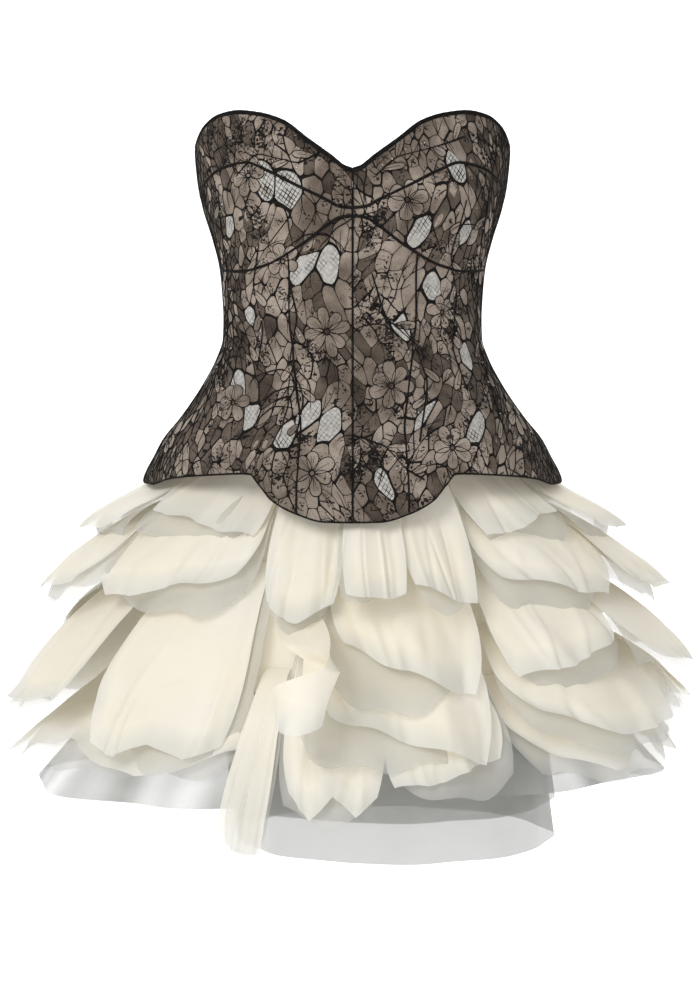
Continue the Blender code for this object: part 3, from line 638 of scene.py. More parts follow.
# Skirt

FINE_COLUMNS = 52
FINE_ROWS = 28
SHELL_OUT = ORGANZA_WALL / 2
UNDER_LONGER = 12 * MM
UNDER_INSIDE = 9.0 * MM
SHEER_EDGE = 0.026
BROAD_CREASES = (0.07, 0.13, 4.0 * MM, 8.0 * MM)
NARROW_CREASES = (0.022, 0.045, 2.2 * MM, 4.4 * MM)
FRONT_NARROW = 5
STRIP_SHEER_START = 0.35


def crease_depth(across, share, creases):
    """Soft troughs and ridges that run down a petal: (place, slant, half width, depth, start)."""
    depth = 0.0
    for place, slant, half_width, size, start in creases:
        off = (across - place - slant * share) / half_width
        grown = min(1.0, max(0.0, (share - start) / 0.35))
        depth += size * grown * math.exp(-off * off)
    return depth


def uneven_creases(chance, count, kind):
    """Creases spread unevenly across a petal, of a kind (least and most half width, least and most size)."""
    narrowest, widest, least, most = kind
    creases = []
    for i in range(count):
        place = (i + chance.uniform(0.15, 0.85)) / count
        creases.append((
            place, chance.uniform(-0.30, 0.30), chance.uniform(narrowest, widest),
            chance.choice((-1.0, 1.0)) * chance.uniform(least, most), chance.uniform(0.0, 0.45),
        ))
    return tuple(creases)


def petal_creases(chance, width):
    """A petal's own uneven creases, from its sewn edge outwards, with sizes in metres."""
    broad = 2 + int(width > 0.12) + int(width > 0.2)
    return uneven_creases(chance, broad, BROAD_CREASES) + uneven_creases(chance, broad + 3, NARROW_CREASES)


def fine_petal(
    start, end, top, tip, rise, profile, shape, cut, spread, outer, bow, creases, rim,
    even=False, side=0.0, longer=0.0, inside=0.0, hem_wave=2.5 * MM
):
    """The source's petal with more points, its creases, and rims that turn outwards."""
    middle = (start + end) / 2
    half = (end - start) * PETAL_TOP_WIDTH / 2
    seat = CONE_SEAT + chord_sag(np.linspace(middle - half, middle + half, PETAL_COLUMNS + 1), top)
    grid = []
    for v in np.linspace(0.0, 1.0, FINE_ROWS + 1):
        rounded = 1 - HEM_ROUND * max(0.0, (v - HEM_ROUND_START) / (1 - HEM_ROUND_START)) ** 2
        row = []
        for u in np.linspace(0.0, 1.0, FINE_COLUMNS + 1):
            share = v * hem_share(shape, u, cut) * (1 + longer * v)
            height = top + (tip - top) * share
            width = (end - start) * (PETAL_TOP_WIDTH + spread * share) * rounded
            azimuth = middle + (u - 0.5) * width
            fullness = 1.0 if even else float(FULLNESS((azimuth + 180) % 360 - 180))
            ripple = RIPPLE * share**RIPPLE_BEND * math.cos(math.radians(azimuth) * RIPPLES)
            turned = side * share * max(0.0, (u - SIDE_CURL_START) / (1 - SIDE_CURL_START)) ** CURL_BEND
            belly = bow * share**BOW_BEND * (1 - (2 * u - 1) ** 2) + outer * math.sqrt(share)
            stand = rise * fullness * stand_share(profile, min(1.0, share)) + belly + ripple + turned
            droop = 0.0 if even else TIP_DROOP * fullness * share**TIP_DROOP_BEND
            stand += crease_depth(u, v, creases) * v
            sides = max(0.0, (abs(2 * u - 1) - 0.82) / 0.18) ** 2 * v * (1.0 + 0.5 * math.sin(7 * v + middle))
            hems = max(0.0, (v - 0.9) / 0.1) ** 2 * (0.7 + 0.4 * math.sin(9 * u + middle))
            stand += rim * (sides + hems) - droop
            height += hem_wave * v**3 * math.sin(math.radians(azimuth) * 23 + middle)
            radius = core_radius(azimuth, height) + seat + stand + SHELL_OUT - inside * share
            row.append(polar_point(azimuth, radius, height))
        grid.append(row)
    return np.array(grid)


def edge_shares(grid):
    """0 over most of a petal and 1 at its free edges, where the cloth is a single sheer layer."""
    rows, columns = grid.shape[:2]
    v = np.linspace(0.0, 1.0, rows)[:, None]
    u = np.linspace(0.0, 1.0, columns)[None, :]
    down = grid[-1, columns // 2] - grid[0, columns // 2]
    across = grid[rows // 2, -1] - grid[rows // 2, 0]
    to_hem = (1 - v) * np.linalg.norm(down) * np.ones_like(u)
    to_side = np.minimum(u, 1 - u) * np.linalg.norm(across) * np.ones_like(v) + 0.02 * (1 - v)
    nearest = np.minimum(to_hem, to_side * 1.6)
    return np.clip(1 - nearest / SHEER_EDGE, 0.0, 1.0)


def add_petal(node, shape_values, creases, rim, **turns):
    """A petal's ivory layer in place of its solid, and the sheer layer behind it that shows past its hem."""
    grid = fine_petal(*shape_values, creases, rim, **turns)
    item = add_sheet(f"organza_{node}", grid, IVORY, [node])
    shares = edge_shares(grid)
    if node == "front_strip":
        down = np.linspace(0.0, 1.0, len(grid))[:, None]
        shares = np.maximum(shares, np.clip((down - STRIP_SHEER_START) / (1 - STRIP_SHEER_START), 0.0, 1.0))
    set_shares(item, shares)
    start, end, top, tip, rise, profile, shape, cut, spread, outer, bow = shape_values
    lean = math.sin(start * 7.0)
    drop = UNDER_LONGER * (0.75 + 0.6 * lean)
    aside = 0.10 * (end - start) * math.cos(start * 5.0)
    under_cut = 0.12 + 0.08 * lean
    under = (start + aside, end + aside, top, tip, rise, profile, "round", under_cut, spread, outer, bow)
    grid = fine_petal(
        *under, (), rim, longer=drop / abs(tip - top), inside=UNDER_INSIDE, hem_wave=4 * MM, **turns
    )
    item = add_sheet(f"sheer_{node}", grid[::2, ::2], VEIL)
    set_shares(item, edge_shares(grid[::2, ::2]))


def build_tiers():
    """Five tiers of petals, every second one wider and standing over its neighbours."""
    chance = np.random.default_rng(7)
    for name, top, tip, rise, profile, bow, edges, shapes in TIERS:
        for i, shape in enumerate(shapes):
            outer = i % 2 == 1
            width = math.radians(edges[i + 1] - edges[i]) * core_radius(edges[i], tip)
            values = (
                edges[i], edges[i + 1], top, tip, rise, profile, shape, TIER_CUT,
                OUTER_SPREAD if outer else INNER_SPREAD, OUTER_STAND if outer else 0.0,
                bow if outer else bow * INNER_BOW,
            )
            add_petal(f"{name}_petal_{i + 1}", values, petal_creases(chance, width), 2.0 * MM)


def build_side_panels():
    """The long smooth panels at the left front, the one behind with its free edge turned out."""
    chance = np.random.default_rng(11)
    for name, start, end, top, tip, rise, shape, cut, spread, outer, side in SIDE_PANELS:
        values = (start, end, top, tip, rise, "dome", shape, cut, spread, outer, PANEL_BOW)
        creases = FRONT_CREASES[name] + uneven_creases(chance, FRONT_NARROW, NARROW_CREASES)
        add_petal(name, values, creases, 1.5 * MM, side=side)


def build_front_petals():
    """The column of petals at the centre front, between the ends of the tiers."""
    chance = np.random.default_rng(13)
    for name, start, end, top, tip, stand, shape, cut, spread, outer in FRONT_PETALS:
        values = (start, end, top, tip, stand, "front", shape, cut, spread, outer, FRONT_BOW)
        creases = FRONT_CREASES[name] + uneven_creases(chance, FRONT_NARROW, NARROW_CREASES)
        add_petal(name, values, creases, 1.2 * MM, even=True)


# Creases of the front petals: (place across, slant, half width, size, start down the petal)
FRONT_CREASES = {
    "side_panel_back": ((0.3, 0.15, 0.10, -6.0 * MM, 0.1), (0.65, -0.1, 0.12, 7.0 * MM, 0.2)),
    "side_panel_front": (
        (0.16, 0.2, 0.09, 6.0 * MM, 0.3), (0.48, 0.25, 0.13, -7.0 * MM, 0.3),
        (0.88, -0.05, 0.07, 6.0 * MM, 0.1),
    ),
    "front_top_left": (
        (0.25, 0.10, 0.08, -6.0 * MM, 0.0), (0.60, 0.05, 0.10, 6.0 * MM, 0.1),
        (0.88, -0.05, 0.06, -5.0 * MM, 0.2),
    ),
    "front_top_centre": ((0.30, 0.0, 0.10, 5.0 * MM, 0.0), (0.75, 0.1, 0.09, -5.0 * MM, 0.1)),
    "front_top_right": ((0.15, 0.0, 0.07, 5.0 * MM, 0.0), (0.60, 0.2, 0.12, -6.0 * MM, 0.2)),
    "front_middle": (
        (0.3, 0.35, 0.10, 6.5 * MM, 0.1), (0.62, 0.3, 0.09, -6.0 * MM, 0.2),
        (0.08, 0.1, 0.06, -4.0 * MM, 0.3),
    ),
    "front_lower": ((0.22, 0.3, 0.09, -6.0 * MM, 0.2), (0.52, 0.3, 0.10, 6.5 * MM, 0.1)),
    "front_hem_left": ((0.3, 0.1, 0.08, 5.0 * MM, 0.2), (0.7, 0.0, 0.08, -5.0 * MM, 0.3)),
    "front_hem_right": ((0.4, 0.2, 0.10, 5.5 * MM, 0.2), (0.8, 0.1, 0.07, -4.0 * MM, 0.3)),
    "front_strip": ((0.5, 0.1, 0.18, 4.0 * MM, 0.2),),
}


def build_foundation():
    """The plain shaped skirt under the petals."""
    azimuths = np.arange(RING_COLUMNS * 2) * 180 / RING_COLUMNS
    heights = np.interp(np.linspace(0, 7, 29), range(8), FOUNDATION_HEIGHTS)
    grid = [[polar_point(a, core_radius(a, h) - SHELL_OUT - 0.6 * MM, h) for a in azimuths] for h in heights]
    add_sheet(
        "organza_foundation", np.array(grid), IVORY, ["skirt_foundation"],
        ring=True,
    )


def build_underskirts():
    """Two narrow layers whose hems show in front, swung towards +X."""
    azimuths = np.arange(144) * 2.5
    for name, hem, out, hem_out in UNDERSKIRTS:
        centre, half_width, front, back = (
            smooth_curve([(row[0], row[k]) for row in UNDERSKIRT_SHAPE]) for k in (1, 2, 3, 4)
        )
        grid = []
        for height in np.linspace(0.0, hem, 31):
            share = height / hem
            row = []
            for azimuth in azimuths:
                depth = front(height) if math.cos(math.radians(azimuth)) > 0 else back(height)
                wave = UNDERSKIRT_WAVE * share * share * math.cos(math.radians(azimuth) * UNDERSKIRT_WAVES)
                wave += 1.2 * MM * share**3 * math.sin(math.radians(azimuth) * 13 + 6 * share)
                radius = ring_radius(azimuth, half_width(height), depth) + out + hem_out * share
                radius += wave - SHELL_OUT
                row.append(polar_point(azimuth, radius, height, centre(height)))
            grid.append(row)
        add_sheet(
            f"sheer_{name}", np.array(grid), SHEER, [name], True
        )


def build_flounce():
    """The wide layer below the petals, open in front, with folds that deepen to its hem and bands of painted
    shade along them.
    """
    azimuths = np.linspace(FLOUNCE_START, FLOUNCE_END, 2 * FLOUNCE_COLUMNS + 1)
    seat = CONE_SEAT + chord_sag(azimuths[::2], FLOUNCE_TOP)
    grid = []
    for share in np.linspace(0.0, 1.0, 17):
        row = []
        for azimuth in azimuths:
            hem = FLOUNCE_HEM + FLOUNCE_HEM_TILT * math.sin(math.radians(azimuth))
            height = FLOUNCE_TOP + (hem - FLOUNCE_TOP) * share
            fold = 0.5 - 0.5 * math.cos(math.radians(azimuth - FLOUNCE_START) * FLOUNCE_FOLDS)
            uneven = 1.0 + 0.18 * math.sin(math.radians(azimuth) * 5)
            folded_out = FLOUNCE_FOLD_DEPTH * share * share * fold * uneven
            radius = core_radius(azimuth, height) + seat + folded_out + SHELL_OUT
            row.append(polar_point(azimuth, radius, height))
        grid.append(row)
    item = add_sheet(
        "sheer_flounce", np.array(grid), FOLDED, ["flounce"]
    )
    # Painted fold shade: darker, less sheer bands beside each fold that grow towards the hem; the extra
    # opacity also stands for the cloth lying double in the folds.
    turns = np.radians(azimuths - FLOUNCE_START)
    fold_shade = 0.5 + 0.3 * np.cos(turns * FLOUNCE_FOLDS + 0.9) + 0.2 * np.sin(turns * 2.6 * FLOUNCE_FOLDS)
    depth = np.linspace(0.4, 1.0, 17)[:, None]
    set_shares(item, np.clip(1 - fold_shade[None, :] * depth, 0.0, 1.0))


def build_rolled_petal():
    """Flat and narrow where it is sewn on; below, it stands out in front and rolls up like a bud."""
    rows, columns = ROLL_ROWS * 4, ROLL_COLUMNS * 3
    grid = np.zeros((rows + 1, columns + 1, 3))
    for i, v in enumerate(np.linspace(0.0, 1.0, rows + 1)):
        azimuth = ROLL_START + ROLL_SWING * min(1.0, v / ROLL_SWING_DONE) ** 2
        turn = math.radians(azimuth)
        out = np.array((math.sin(turn), -math.cos(turn), 0))
        along = np.array((math.cos(turn), math.sin(turn), 0))
        height = ROLL_TOP + (ROLL_TIP - ROLL_TOP) * v
        free = min(1.0, max(0.0, (v - ROLL_FREE) / (1 - ROLL_FREE)))
        rolled = math.radians(ROLL_TURN) * free**ROLL_START_BEND
        step = (ROLL_TOP_WIDTH + (ROLL_TIP_WIDTH - ROLL_TOP_WIDTH) * v) / columns
        stand = ROLL_STAND * min(1.0, v / ROLL_STAND_DONE) ** FRONT_BEND
        start = core_radius(azimuth, height) + CONE_SEAT + stand
        spot = out * start
        cone_turn = ROLL_TOP_WIDTH / start / columns
        for j in range(columns + 1):
            u = j / columns
            drop = (ROLL_TIP - ROLL_TOP) * v * ROLL_CUT * abs(2 * u - 1)
            grid[i, j] = spot + np.array((0, 0, height - drop))
            heading = rolled * (u + 0.5 / columns) ** ROLL_TIGHTEN - cone_turn * j
            spot = spot + (along * math.cos(heading) + out * math.sin(heading)) * step
    length = float(np.linalg.norm(np.diff(grid[:, 0], axis=0), axis=1).sum())
    grid = grid + grid_normals(grid) * SHELL_OUT
    item = add_sheet(
        "organza_rolled_petal", grid, IVORY, ["rolled_petal"], length=length
    )
    v = np.linspace(0.0, 1.0, rows + 1)[:, None]
    set_shares(item, np.clip((v - 0.75) / 0.25, 0.0, 1.0) * np.ones(columns + 1))


# Bodice


def panel_grid(first, last, top, bottom, rows, columns, out):
    """Points of a panel between two tracks and two edges, held back from its neighbours by the seam gaps."""
    tracks = np.linspace(first, last, columns + 1)
    grid = np.zeros((rows + 1, columns + 1, 3))
    for r in range(rows + 1):
        for c, track in enumerate(tracks):
            height = 0.0
            for _ in range(HEIGHT_STEPS):
                angle = track_angle(track, height)
                high = top(angle) - (EDGE_HALF_GAP if top is not NECK else 0.0)
                low = bottom(angle) + (EDGE_HALF_GAP if bottom is not HEM else 0.0)
                height = high + (low - high) * r / rows
            angle = track_angle(track, height)
            aside = math.degrees(SEAM_HALF_GAP / BODY_CURVES[1](height))
            angle += aside * ((c == 0) - (c == columns))
            grid[r, c] = body_point(angle, height, out)
    return grid


def build_bodice():
    """The twelve panels' taupe cloth, each on its own solid's outer face."""
    princess = CENTRE_FRONT_TRACKS
    side = princess + SIDE_FRONT_TRACKS
    back_princess = side + SIDE_BACK_TRACKS
    back = back_princess + BACK_TRACKS
    panels = (
        ("cup_upper", 0, side, NECK, UPPER_CUP, 12, 48),
        ("cup_lower", 0, side, UPPER_CUP, UNDER_BUST, 16, 48),
        ("centre_front", 0, princess, UNDER_BUST, HEM, 52, 12),
        ("side_front", princess, side, UNDER_BUST, HEM, 48, 28),
        ("side_back", side, back_princess, NECK, HEM, 56, 22),
        ("back", back_princess, back, NECK, HEM, 56, 14),
    )
    for name, first, last, top, bottom, rows, columns in panels:
        grid = panel_grid(first, last, top, bottom, rows, columns, -0.2 * MM)
        for hand, sign in (("left", -1), ("right", 1)):
            side_grid = grid if sign > 0 else (grid * np.array([-1, 1, 1]))[:, ::-1]
            node = f"{name}_{hand}"
            add_sheet(f"lace_{node}", side_grid, GROUND, [node])


# Lace: drawn on a flat chart, with s round the bodice from the centre front and z up, in metres

CHART_HEIGHTS = np.linspace(-0.18, 0.216, 100)
CHART_ANGLES = np.linspace(0.0, 180.0, 361)
TRUE_ARCS = np.array([
    np.concatenate(([0.0], np.cumsum(np.linalg.norm(np.diff(body_point(CHART_ANGLES, h), axis=0), axis=1))))
    for h in CHART_HEIGHTS
])
# Past the sides the chart keeps one scale at all heights, so that the peplum doesn't slant the back's cells
BACK_SCALE_FROM, BACK_SCALE_FULL = 75.0, 180.0
BACK_SCALE = np.clip((CHART_ANGLES - BACK_SCALE_FROM) / (BACK_SCALE_FULL - BACK_SCALE_FROM), 0.0, 1.0)
BACK_SCALE = BACK_SCALE * BACK_SCALE * (3 - 2 * BACK_SCALE)
CHART_ARCS = TRUE_ARCS + BACK_SCALE * (TRUE_ARCS.mean(axis=0) - TRUE_ARCS)
CHART_STEPS = np.linspace(0.0, CHART_ARCS.max(), 500)
CHART_TURNS = np.array([np.interp(CHART_STEPS, arcs, CHART_ANGLES) for arcs in CHART_ARCS])


def look_up(table, columns, column, height):
    """Bilinear reading of a table whose rows are the chart's heights."""
    rows = len(CHART_HEIGHTS)
    r = np.clip(np.interp(height, CHART_HEIGHTS, np.arange(rows)), 0, rows - 1.001)
    c = np.clip(np.interp(column, columns, np.arange(len(columns))), 0, len(columns) - 1.001)
    r0, c0 = r.astype(int), c.astype(int)
    fr, fc = r - r0, c - c0
    low = table[r0, c0] * (1 - fc) + table[r0, c0 + 1] * fc
    high = table[r0 + 1, c0] * (1 - fc) + table[r0 + 1, c0 + 1] * fc
    return low * (1 - fr) + high * fr


def chart_angle(s, z):
    """The section angle of chart points."""
    s, z = np.atleast_1d(np.asarray(s, float)), np.atleast_1d(np.asarray(z, float))
    return np.sign(s) * look_up(CHART_TURNS, CHART_STEPS, np.abs(s), z)


def chart_s(angle, z):
    """How far round from the centre front a section angle is."""
    angle, z = (np.atleast_1d(np.asarray(value, float)) for value in (angle, z))
    angle, z = np.broadcast_arrays(angle, z)
    return np.sign(angle) * look_up(CHART_ARCS, CHART_ANGLES, np.abs(angle), z)


# The angles between which the cords belong to the sides
FRONT_ENDS, BACK_STARTS = 62.0, 115.0


def turned(points):
    """How far round from the centre front chart points are, to either side."""
    return np.abs(chart_angle(points[:, 0], points[:, 1]))


def inside_edges(points, margin):
    """Chart points pulled back inside the neckline, the hem and the zip."""
    s, z = np.array(points, float).reshape(-1, 2).T
    for _ in range(3):
        angle = np.abs(chart_angle(s, z))
        z = np.clip(z, HEM(angle) + margin, NECK(angle) - margin)
        limit = chart_s(180.0 - zip_angle(z), z) - margin
        s = np.clip(s, -limit, limit)
    return np.stack([s, z], axis=-1)


def sway(points):
    """Chart points to the plane where the lace's cells are laid out: swayed, and short from top to bottom."""
    s, z = np.array(points, float).reshape(-1, 2).T
    s = s + SWAY_ACROSS * np.sin(z / SWAY_LENGTH)
    z = z + SWAY_UP * np.sin(s / (SWAY_LENGTH * 0.8)) + 0.5 * SWAY_UP * np.sin(s / (SWAY_LENGTH * 0.31) + 1.0)
    return np.stack([s, z * CELL_SQUASH], axis=-1)


def unsway(points):
    """Back from the cells' plane to the chart, so that the cells stand long and lean to and fro."""
    s, z = np.array(points, float).reshape(-1, 2).T
    z = z / CELL_SQUASH
    z = z - SWAY_UP * np.sin(s / (SWAY_LENGTH * 0.8)) - 0.5 * SWAY_UP * np.sin(s / (SWAY_LENGTH * 0.31) + 1.0)
    s = s - SWAY_ACROSS * np.sin(z / SWAY_LENGTH)
    return np.stack([s, z], axis=-1)


class LaceMesh:
    """Gathers ribbons, bands and patches on the chart, then lays them on the bodice as one mesh."""

    def __init__(self):
        self.points, self.outs, self.faces, self.count = [], [], [], 0

    def add(self, points, outs, faces):
        self.points.append(np.asarray(points, float))
        self.outs.append(np.broadcast_to(np.asarray(outs, float), (len(points),)).copy())
        self.faces += [tuple(self.count + i for i in face) for face in faces]
        self.count += len(points)

    def ribbon(self, path, width, height, closed=False, base=0.0):
        """A raised cord along a path; the width may be one number or one for each point."""
        path = np.asarray(path, float)
        n = len(path)
        if closed:
            along = np.roll(path, -1, axis=0) - np.roll(path, 1, axis=0)
        else:
            along = np.gradient(path, axis=0)
        along /= np.maximum(np.linalg.norm(along, axis=1, keepdims=True), 1e-9)
        aside = np.stack([along[:, 1], -along[:, 0]], axis=-1) * (np.broadcast_to(width, (n,)) / 2)[:, None]
        points = np.concatenate([path - aside, path, path + aside])
        outs = np.concatenate([np.full(n, base), np.full(n, base + height), np.full(n, base)])
        faces = []
        for i in range(n if closed else n - 1):
            j = (i + 1) % n
            faces += [(i, n + i, n + j, j), (n + i, 2 * n + i, 2 * n + j, n + j)]
        self.add(points, outs, faces)

    def build(self, name, material, slot, keep=None):
        """The mesh as a piece of the dress; keep chooses faces by the chart place of their first point."""
        points = np.concatenate(self.points)
        outs = np.concatenate(self.outs)
        places = body_point(chart_angle(points[:, 0], points[:, 1]), points[:, 1], outs)
        faces = self.faces
        if keep is not None:
            chosen = keep(points)
            faces = [face for face in faces if chosen[face[0]]]
            used = np.zeros(len(points), bool)
            for face in faces:
                used[list(face)] = True
            index = np.cumsum(used) - 1
            faces = [tuple(int(index[i]) for i in face) for face in faces]
            places = places[used]
        item = new_mesh(name, places, faces, material)
        return add_detail(item)


# Motifs of the design: flowers (s, z, radius, petals, turn), windows of white net (s, z, half size),
# and stems (points, with how many leaves they carry)
FLOWERS = (
    (-0.024, 0.006, 0.021, 8, 10), (-0.037, -0.122, 0.019, 7, 30), (0.036, -0.044, 0.020, 7, 0),
    (0.050, 0.128, 0.018, 6, 20), (-0.066, 0.072, 0.016, 6, 40), (0.094, -0.100, 0.019, 7, 15),
    (-0.120, -0.060, 0.017, 6, 0), (0.088, 0.024, 0.015, 6, 50), (-0.098, 0.150, 0.016, 6, 10),
    (0.148, 0.070, 0.017, 7, 20), (-0.165, 0.040, 0.018, 7, 35), (0.190, -0.070, 0.019, 7, 5),
    (-0.215, -0.090, 0.018, 6, 25), (0.235, 0.030, 0.018, 7, 45), (-0.250, 0.080, 0.018, 7, 10),
    (0.280, -0.050, 0.019, 8, 0), (-0.290, -0.020, 0.019, 7, 30), (0.300, 0.090, 0.017, 6, 15),
    (-0.320, 0.110, 0.016, 6, 0), (0.340, 0.010, 0.015, 6, 25), (-0.345, -0.090, 0.017, 7, 40),
)
WINDOWS = (
    (-0.082, 0.146, 0.0125), (-0.060, 0.140, 0.0120), (-0.047, 0.064, 0.0105), (-0.022, 0.071, 0.0100),
    (0.062, 0.099, 0.0110), (0.098, 0.158, 0.0100), (0.078, 0.046, 0.0095), (0.047, 0.008, 0.0085),
    (-0.116, -0.044, 0.0105), (-0.098, -0.074, 0.0085), (-0.064, -0.090, 0.0090), (-0.041, -0.070, 0.0095),
    (-0.020, -0.078, 0.0105), (0.122, -0.084, 0.0105), (0.118, -0.018, 0.0085), (0.026, -0.130, 0.0070),
    (0.112, 0.100, 0.0080), (-0.128, 0.104, 0.0080), (0.068, -0.070, 0.0070), (-0.104, 0.020, 0.0070),
    (0.164, 0.000, 0.0095), (-0.180, -0.030, 0.0100), (0.205, 0.090, 0.0095), (-0.205, 0.110, 0.0095),
    (0.250, -0.090, 0.0100), (-0.240, 0.010, 0.0100), (0.262, 0.020, 0.0095), (-0.268, -0.080, 0.0095),
    (0.315, -0.080, 0.0095), (-0.312, 0.050, 0.0090), (0.322, 0.050, 0.0090), (-0.330, -0.050, 0.0085),
)
STEMS = (
    (((-0.060, 0.052), (-0.052, 0.020), (-0.060, -0.020), (-0.045, -0.055), (-0.052, -0.090)), 5),
    (((0.018, 0.060), (0.030, 0.020), (0.058, -0.004), (0.072, -0.040), (0.062, -0.095)), 5),
    (((0.000, -0.088), (0.030, -0.098), (0.048, -0.118), (0.066, -0.128)), 4),
    (((-0.090, 0.090), (-0.100, 0.050), (-0.088, 0.010), (-0.094, -0.030)), 4),
    (((0.110, 0.130), (0.096, 0.080), (0.106, 0.040), (0.100, -0.010), (0.116, -0.050)), 5),
    (((-0.030, 0.170), (-0.050, 0.160), (-0.090, 0.170), (-0.112, 0.150)), 4),
    (((0.022, 0.150), (0.040, 0.166), (0.078, 0.176), (0.108, 0.186)), 4),
    (((-0.140, 0.140), (-0.145, 0.090), (-0.138, 0.040), (-0.146, -0.010), (-0.160, -0.060)), 6),
    (((0.145, 0.140), (0.140, 0.030), (0.150, -0.040), (0.160, -0.100)), 5),
    (((-0.200, 0.080), (-0.215, 0.030), (-0.205, -0.040), (-0.225, -0.120)), 5),
    (((0.215, 0.130), (0.200, 0.050), (0.220, -0.020), (0.225, -0.110)), 5),
    (((-0.285, 0.130), (-0.270, 0.050), (-0.300, -0.020), (-0.305, -0.110)), 5),
    (((0.290, 0.130), (0.305, 0.050), (0.290, -0.010), (0.330, -0.100)), 5),
)
LACE_SEED = 11
LACE_SPACING = 0.0096
SIDE_SPACING = 0.0054
SWAY_ACROSS = 0.011
SWAY_UP = 0.010
SWAY_LENGTH = 0.026
CELL_SQUASH = 0.66
LINE_HALF = 0.16 * MM
LINE_VARIES = 0.78 * MM
SIDE_LINE_MORE = 0.45 * MM
LINE_RISE = 0.55 * MM
OPEN_SHARE = 0.80
ROUNDING = 13.0
TENDRILS = 74
NET_PITCH = 3.5 * MM


def side_share(s, z):
    """0 in the middle of the front and back, 1 at the sides, where the lace is denser and more of its cells
    carry painted shade.
    """
    angle = np.abs(chart_angle(s, z))
    return np.exp(-(((angle - 78.0) / 24.0) ** 2))


# The chart's bounds that darts are thrown in, and the strip beside the zip that gets its own
CHART_SIDE, ZIP_STRIP, CHART_END = 0.39, 0.385, 0.43
CHART_LOW, CHART_HIGH = -0.180, 0.216
DARTS, ZIP_DARTS = 26000, 3400


def spread_seeds(chance):
    """Seeds of the lace's cells: motifs first, then darts thrown where there is room."""
    seeds, room, kinds = [], [], []
    for s, z, half in WINDOWS:
        seeds.append(sway((s, z))[0])
        room.append(half * 1.62)
        kinds.append("window")
    for s, z, radius, count, turn in FLOWERS:
        seeds.append(sway((s, z))[0])
        room.append(radius * 0.6)
        kinds.append("flower")
    places = chance.uniform((-CHART_SIDE, CHART_LOW), (CHART_SIDE, CHART_HIGH), (DARTS, 2))
    by_zip = np.random.default_rng(29)
    beside = by_zip.uniform((ZIP_STRIP, CHART_LOW), (CHART_END, CHART_HIGH), (ZIP_DARTS, 2))
    beside[:, 0] *= by_zip.choice((-1.0, 1.0), len(beside))
    places = np.concatenate([places, beside])
    darts = sway(places)
    shares = side_share(places[:, 0], places[:, 1])
    spacing = LACE_SPACING + (SIDE_SPACING - LACE_SPACING) * shares
    clumps = np.sin(places[:, 0] * 61 + 2.0 * np.sin(places[:, 1] * 47)) * np.sin(places[:, 1] * 73 + 1.0)
    spacing = spacing * (1.0 + 0.38 * clumps) * chance.uniform(0.5, 1.75, len(darts))
    points = np.zeros((len(seeds) + len(darts), 2))
    rooms = np.zeros(len(points))
    points[: len(seeds)], rooms[: len(seeds)] = seeds, room
    count = len(seeds)
    windows = len(WINDOWS)
    for dart, space in zip(darts, spacing):
        gaps = np.hypot(*(points[:count] - dart).T)
        shared = np.maximum(rooms[:count] * 0.5 + space * 0.5, 0)
        need = np.where(np.arange(count) < windows, rooms[:count], shared)
        if (gaps > need).all():
            points[count], rooms[count] = dart, space
            count += 1
    kinds += ["plain"] * (count - len(kinds))
    return points[:count], kinds


def cell_polygon(points, i):
    """The convex cell of seed i: its corners, and the neighbour across each side."""
    offsets = points - points[i]
    gaps = np.hypot(offsets[:, 0], offsets[:, 1])
    order = np.argsort(gaps)[1:26]
    reach = 0.035
    corners = [(-reach, -reach), (reach, -reach), (reach, reach), (-reach, reach)]
    tags = [-1, -1, -1, -1]
    for j in order:
        if gaps[j] > 2 * max(math.hypot(x, y) for x, y in corners):
            break
        nx, ny = offsets[j] / gaps[j]
        half = gaps[j] / 2
        sides = [nx * x + ny * y - half for x, y in corners]
        if max(sides) <= 0:
            continue
        kept, kept_tags = [], []
        for k in range(len(corners)):
            a, b = corners[k], corners[(k + 1) % len(corners)]
            da, db = sides[k], sides[(k + 1) % len(corners)]
            if da <= 0:
                kept.append(a)
                kept_tags.append(tags[k])
            if (da < 0 < db) or (db < 0 < da):
                t = da / (da - db)
                kept.append((a[0] + (b[0] - a[0]) * t, a[1] + (b[1] - a[1]) * t))
                kept_tags.append(int(j) if da < 0 else tags[k])
        corners, tags = kept, kept_tags
    return np.array(corners), tags


def rounded_outline(corners, widths, directions):
    """How far the cell reaches along each direction, inside its lines and with rounded corners."""
    following = np.roll(corners, -1, axis=0)
    edge = following - corners
    normals = np.stack([edge[:, 1], -edge[:, 0]], axis=-1)
    normals /= np.maximum(np.linalg.norm(normals, axis=1, keepdims=True), 1e-12)
    reach = (normals * corners).sum(axis=1)
    facing = directions @ normals.T
    room = np.maximum(reach - widths, 0.35 * reach)
    inverse = np.where(facing > 1e-6, facing / room, 0.0)
    return (inverse**ROUNDING).sum(axis=1) ** (-1.0 / ROUNDING)


def curve_through(points, count):
    """A smooth path through chart points."""
    points = np.asarray(points, float)
    t = np.arange(len(points))
    fine = np.linspace(0, len(points) - 1, count)
    path = np.stack([np.interp(fine, t, points[:, k]) for k in (0, 1)], axis=-1)
    for _ in range(3):
        path[1:-1] = (path[:-2] + 2 * path[1:-1] + path[2:]) / 4
    return path


def petal_outline(base, heading, length, width, count=14):
    """A closed leaf or petal from its base, wider past its middle."""
    t = np.linspace(0.0, math.pi, count)
    along = (1 - np.cos(t)) / 2
    half = width / 2 * np.sin(t) ** 0.8 * (0.75 + 0.5 * along)
    forward = np.array((math.cos(heading), math.sin(heading)))
    aside = np.array((-forward[1], forward[0]))
    left = base + np.outer(along * length, forward) + np.outer(half, aside)
    right = base + np.outer(along * length, forward) - np.outer(half, aside)
    return np.concatenate([left, right[-2:0:-1]])


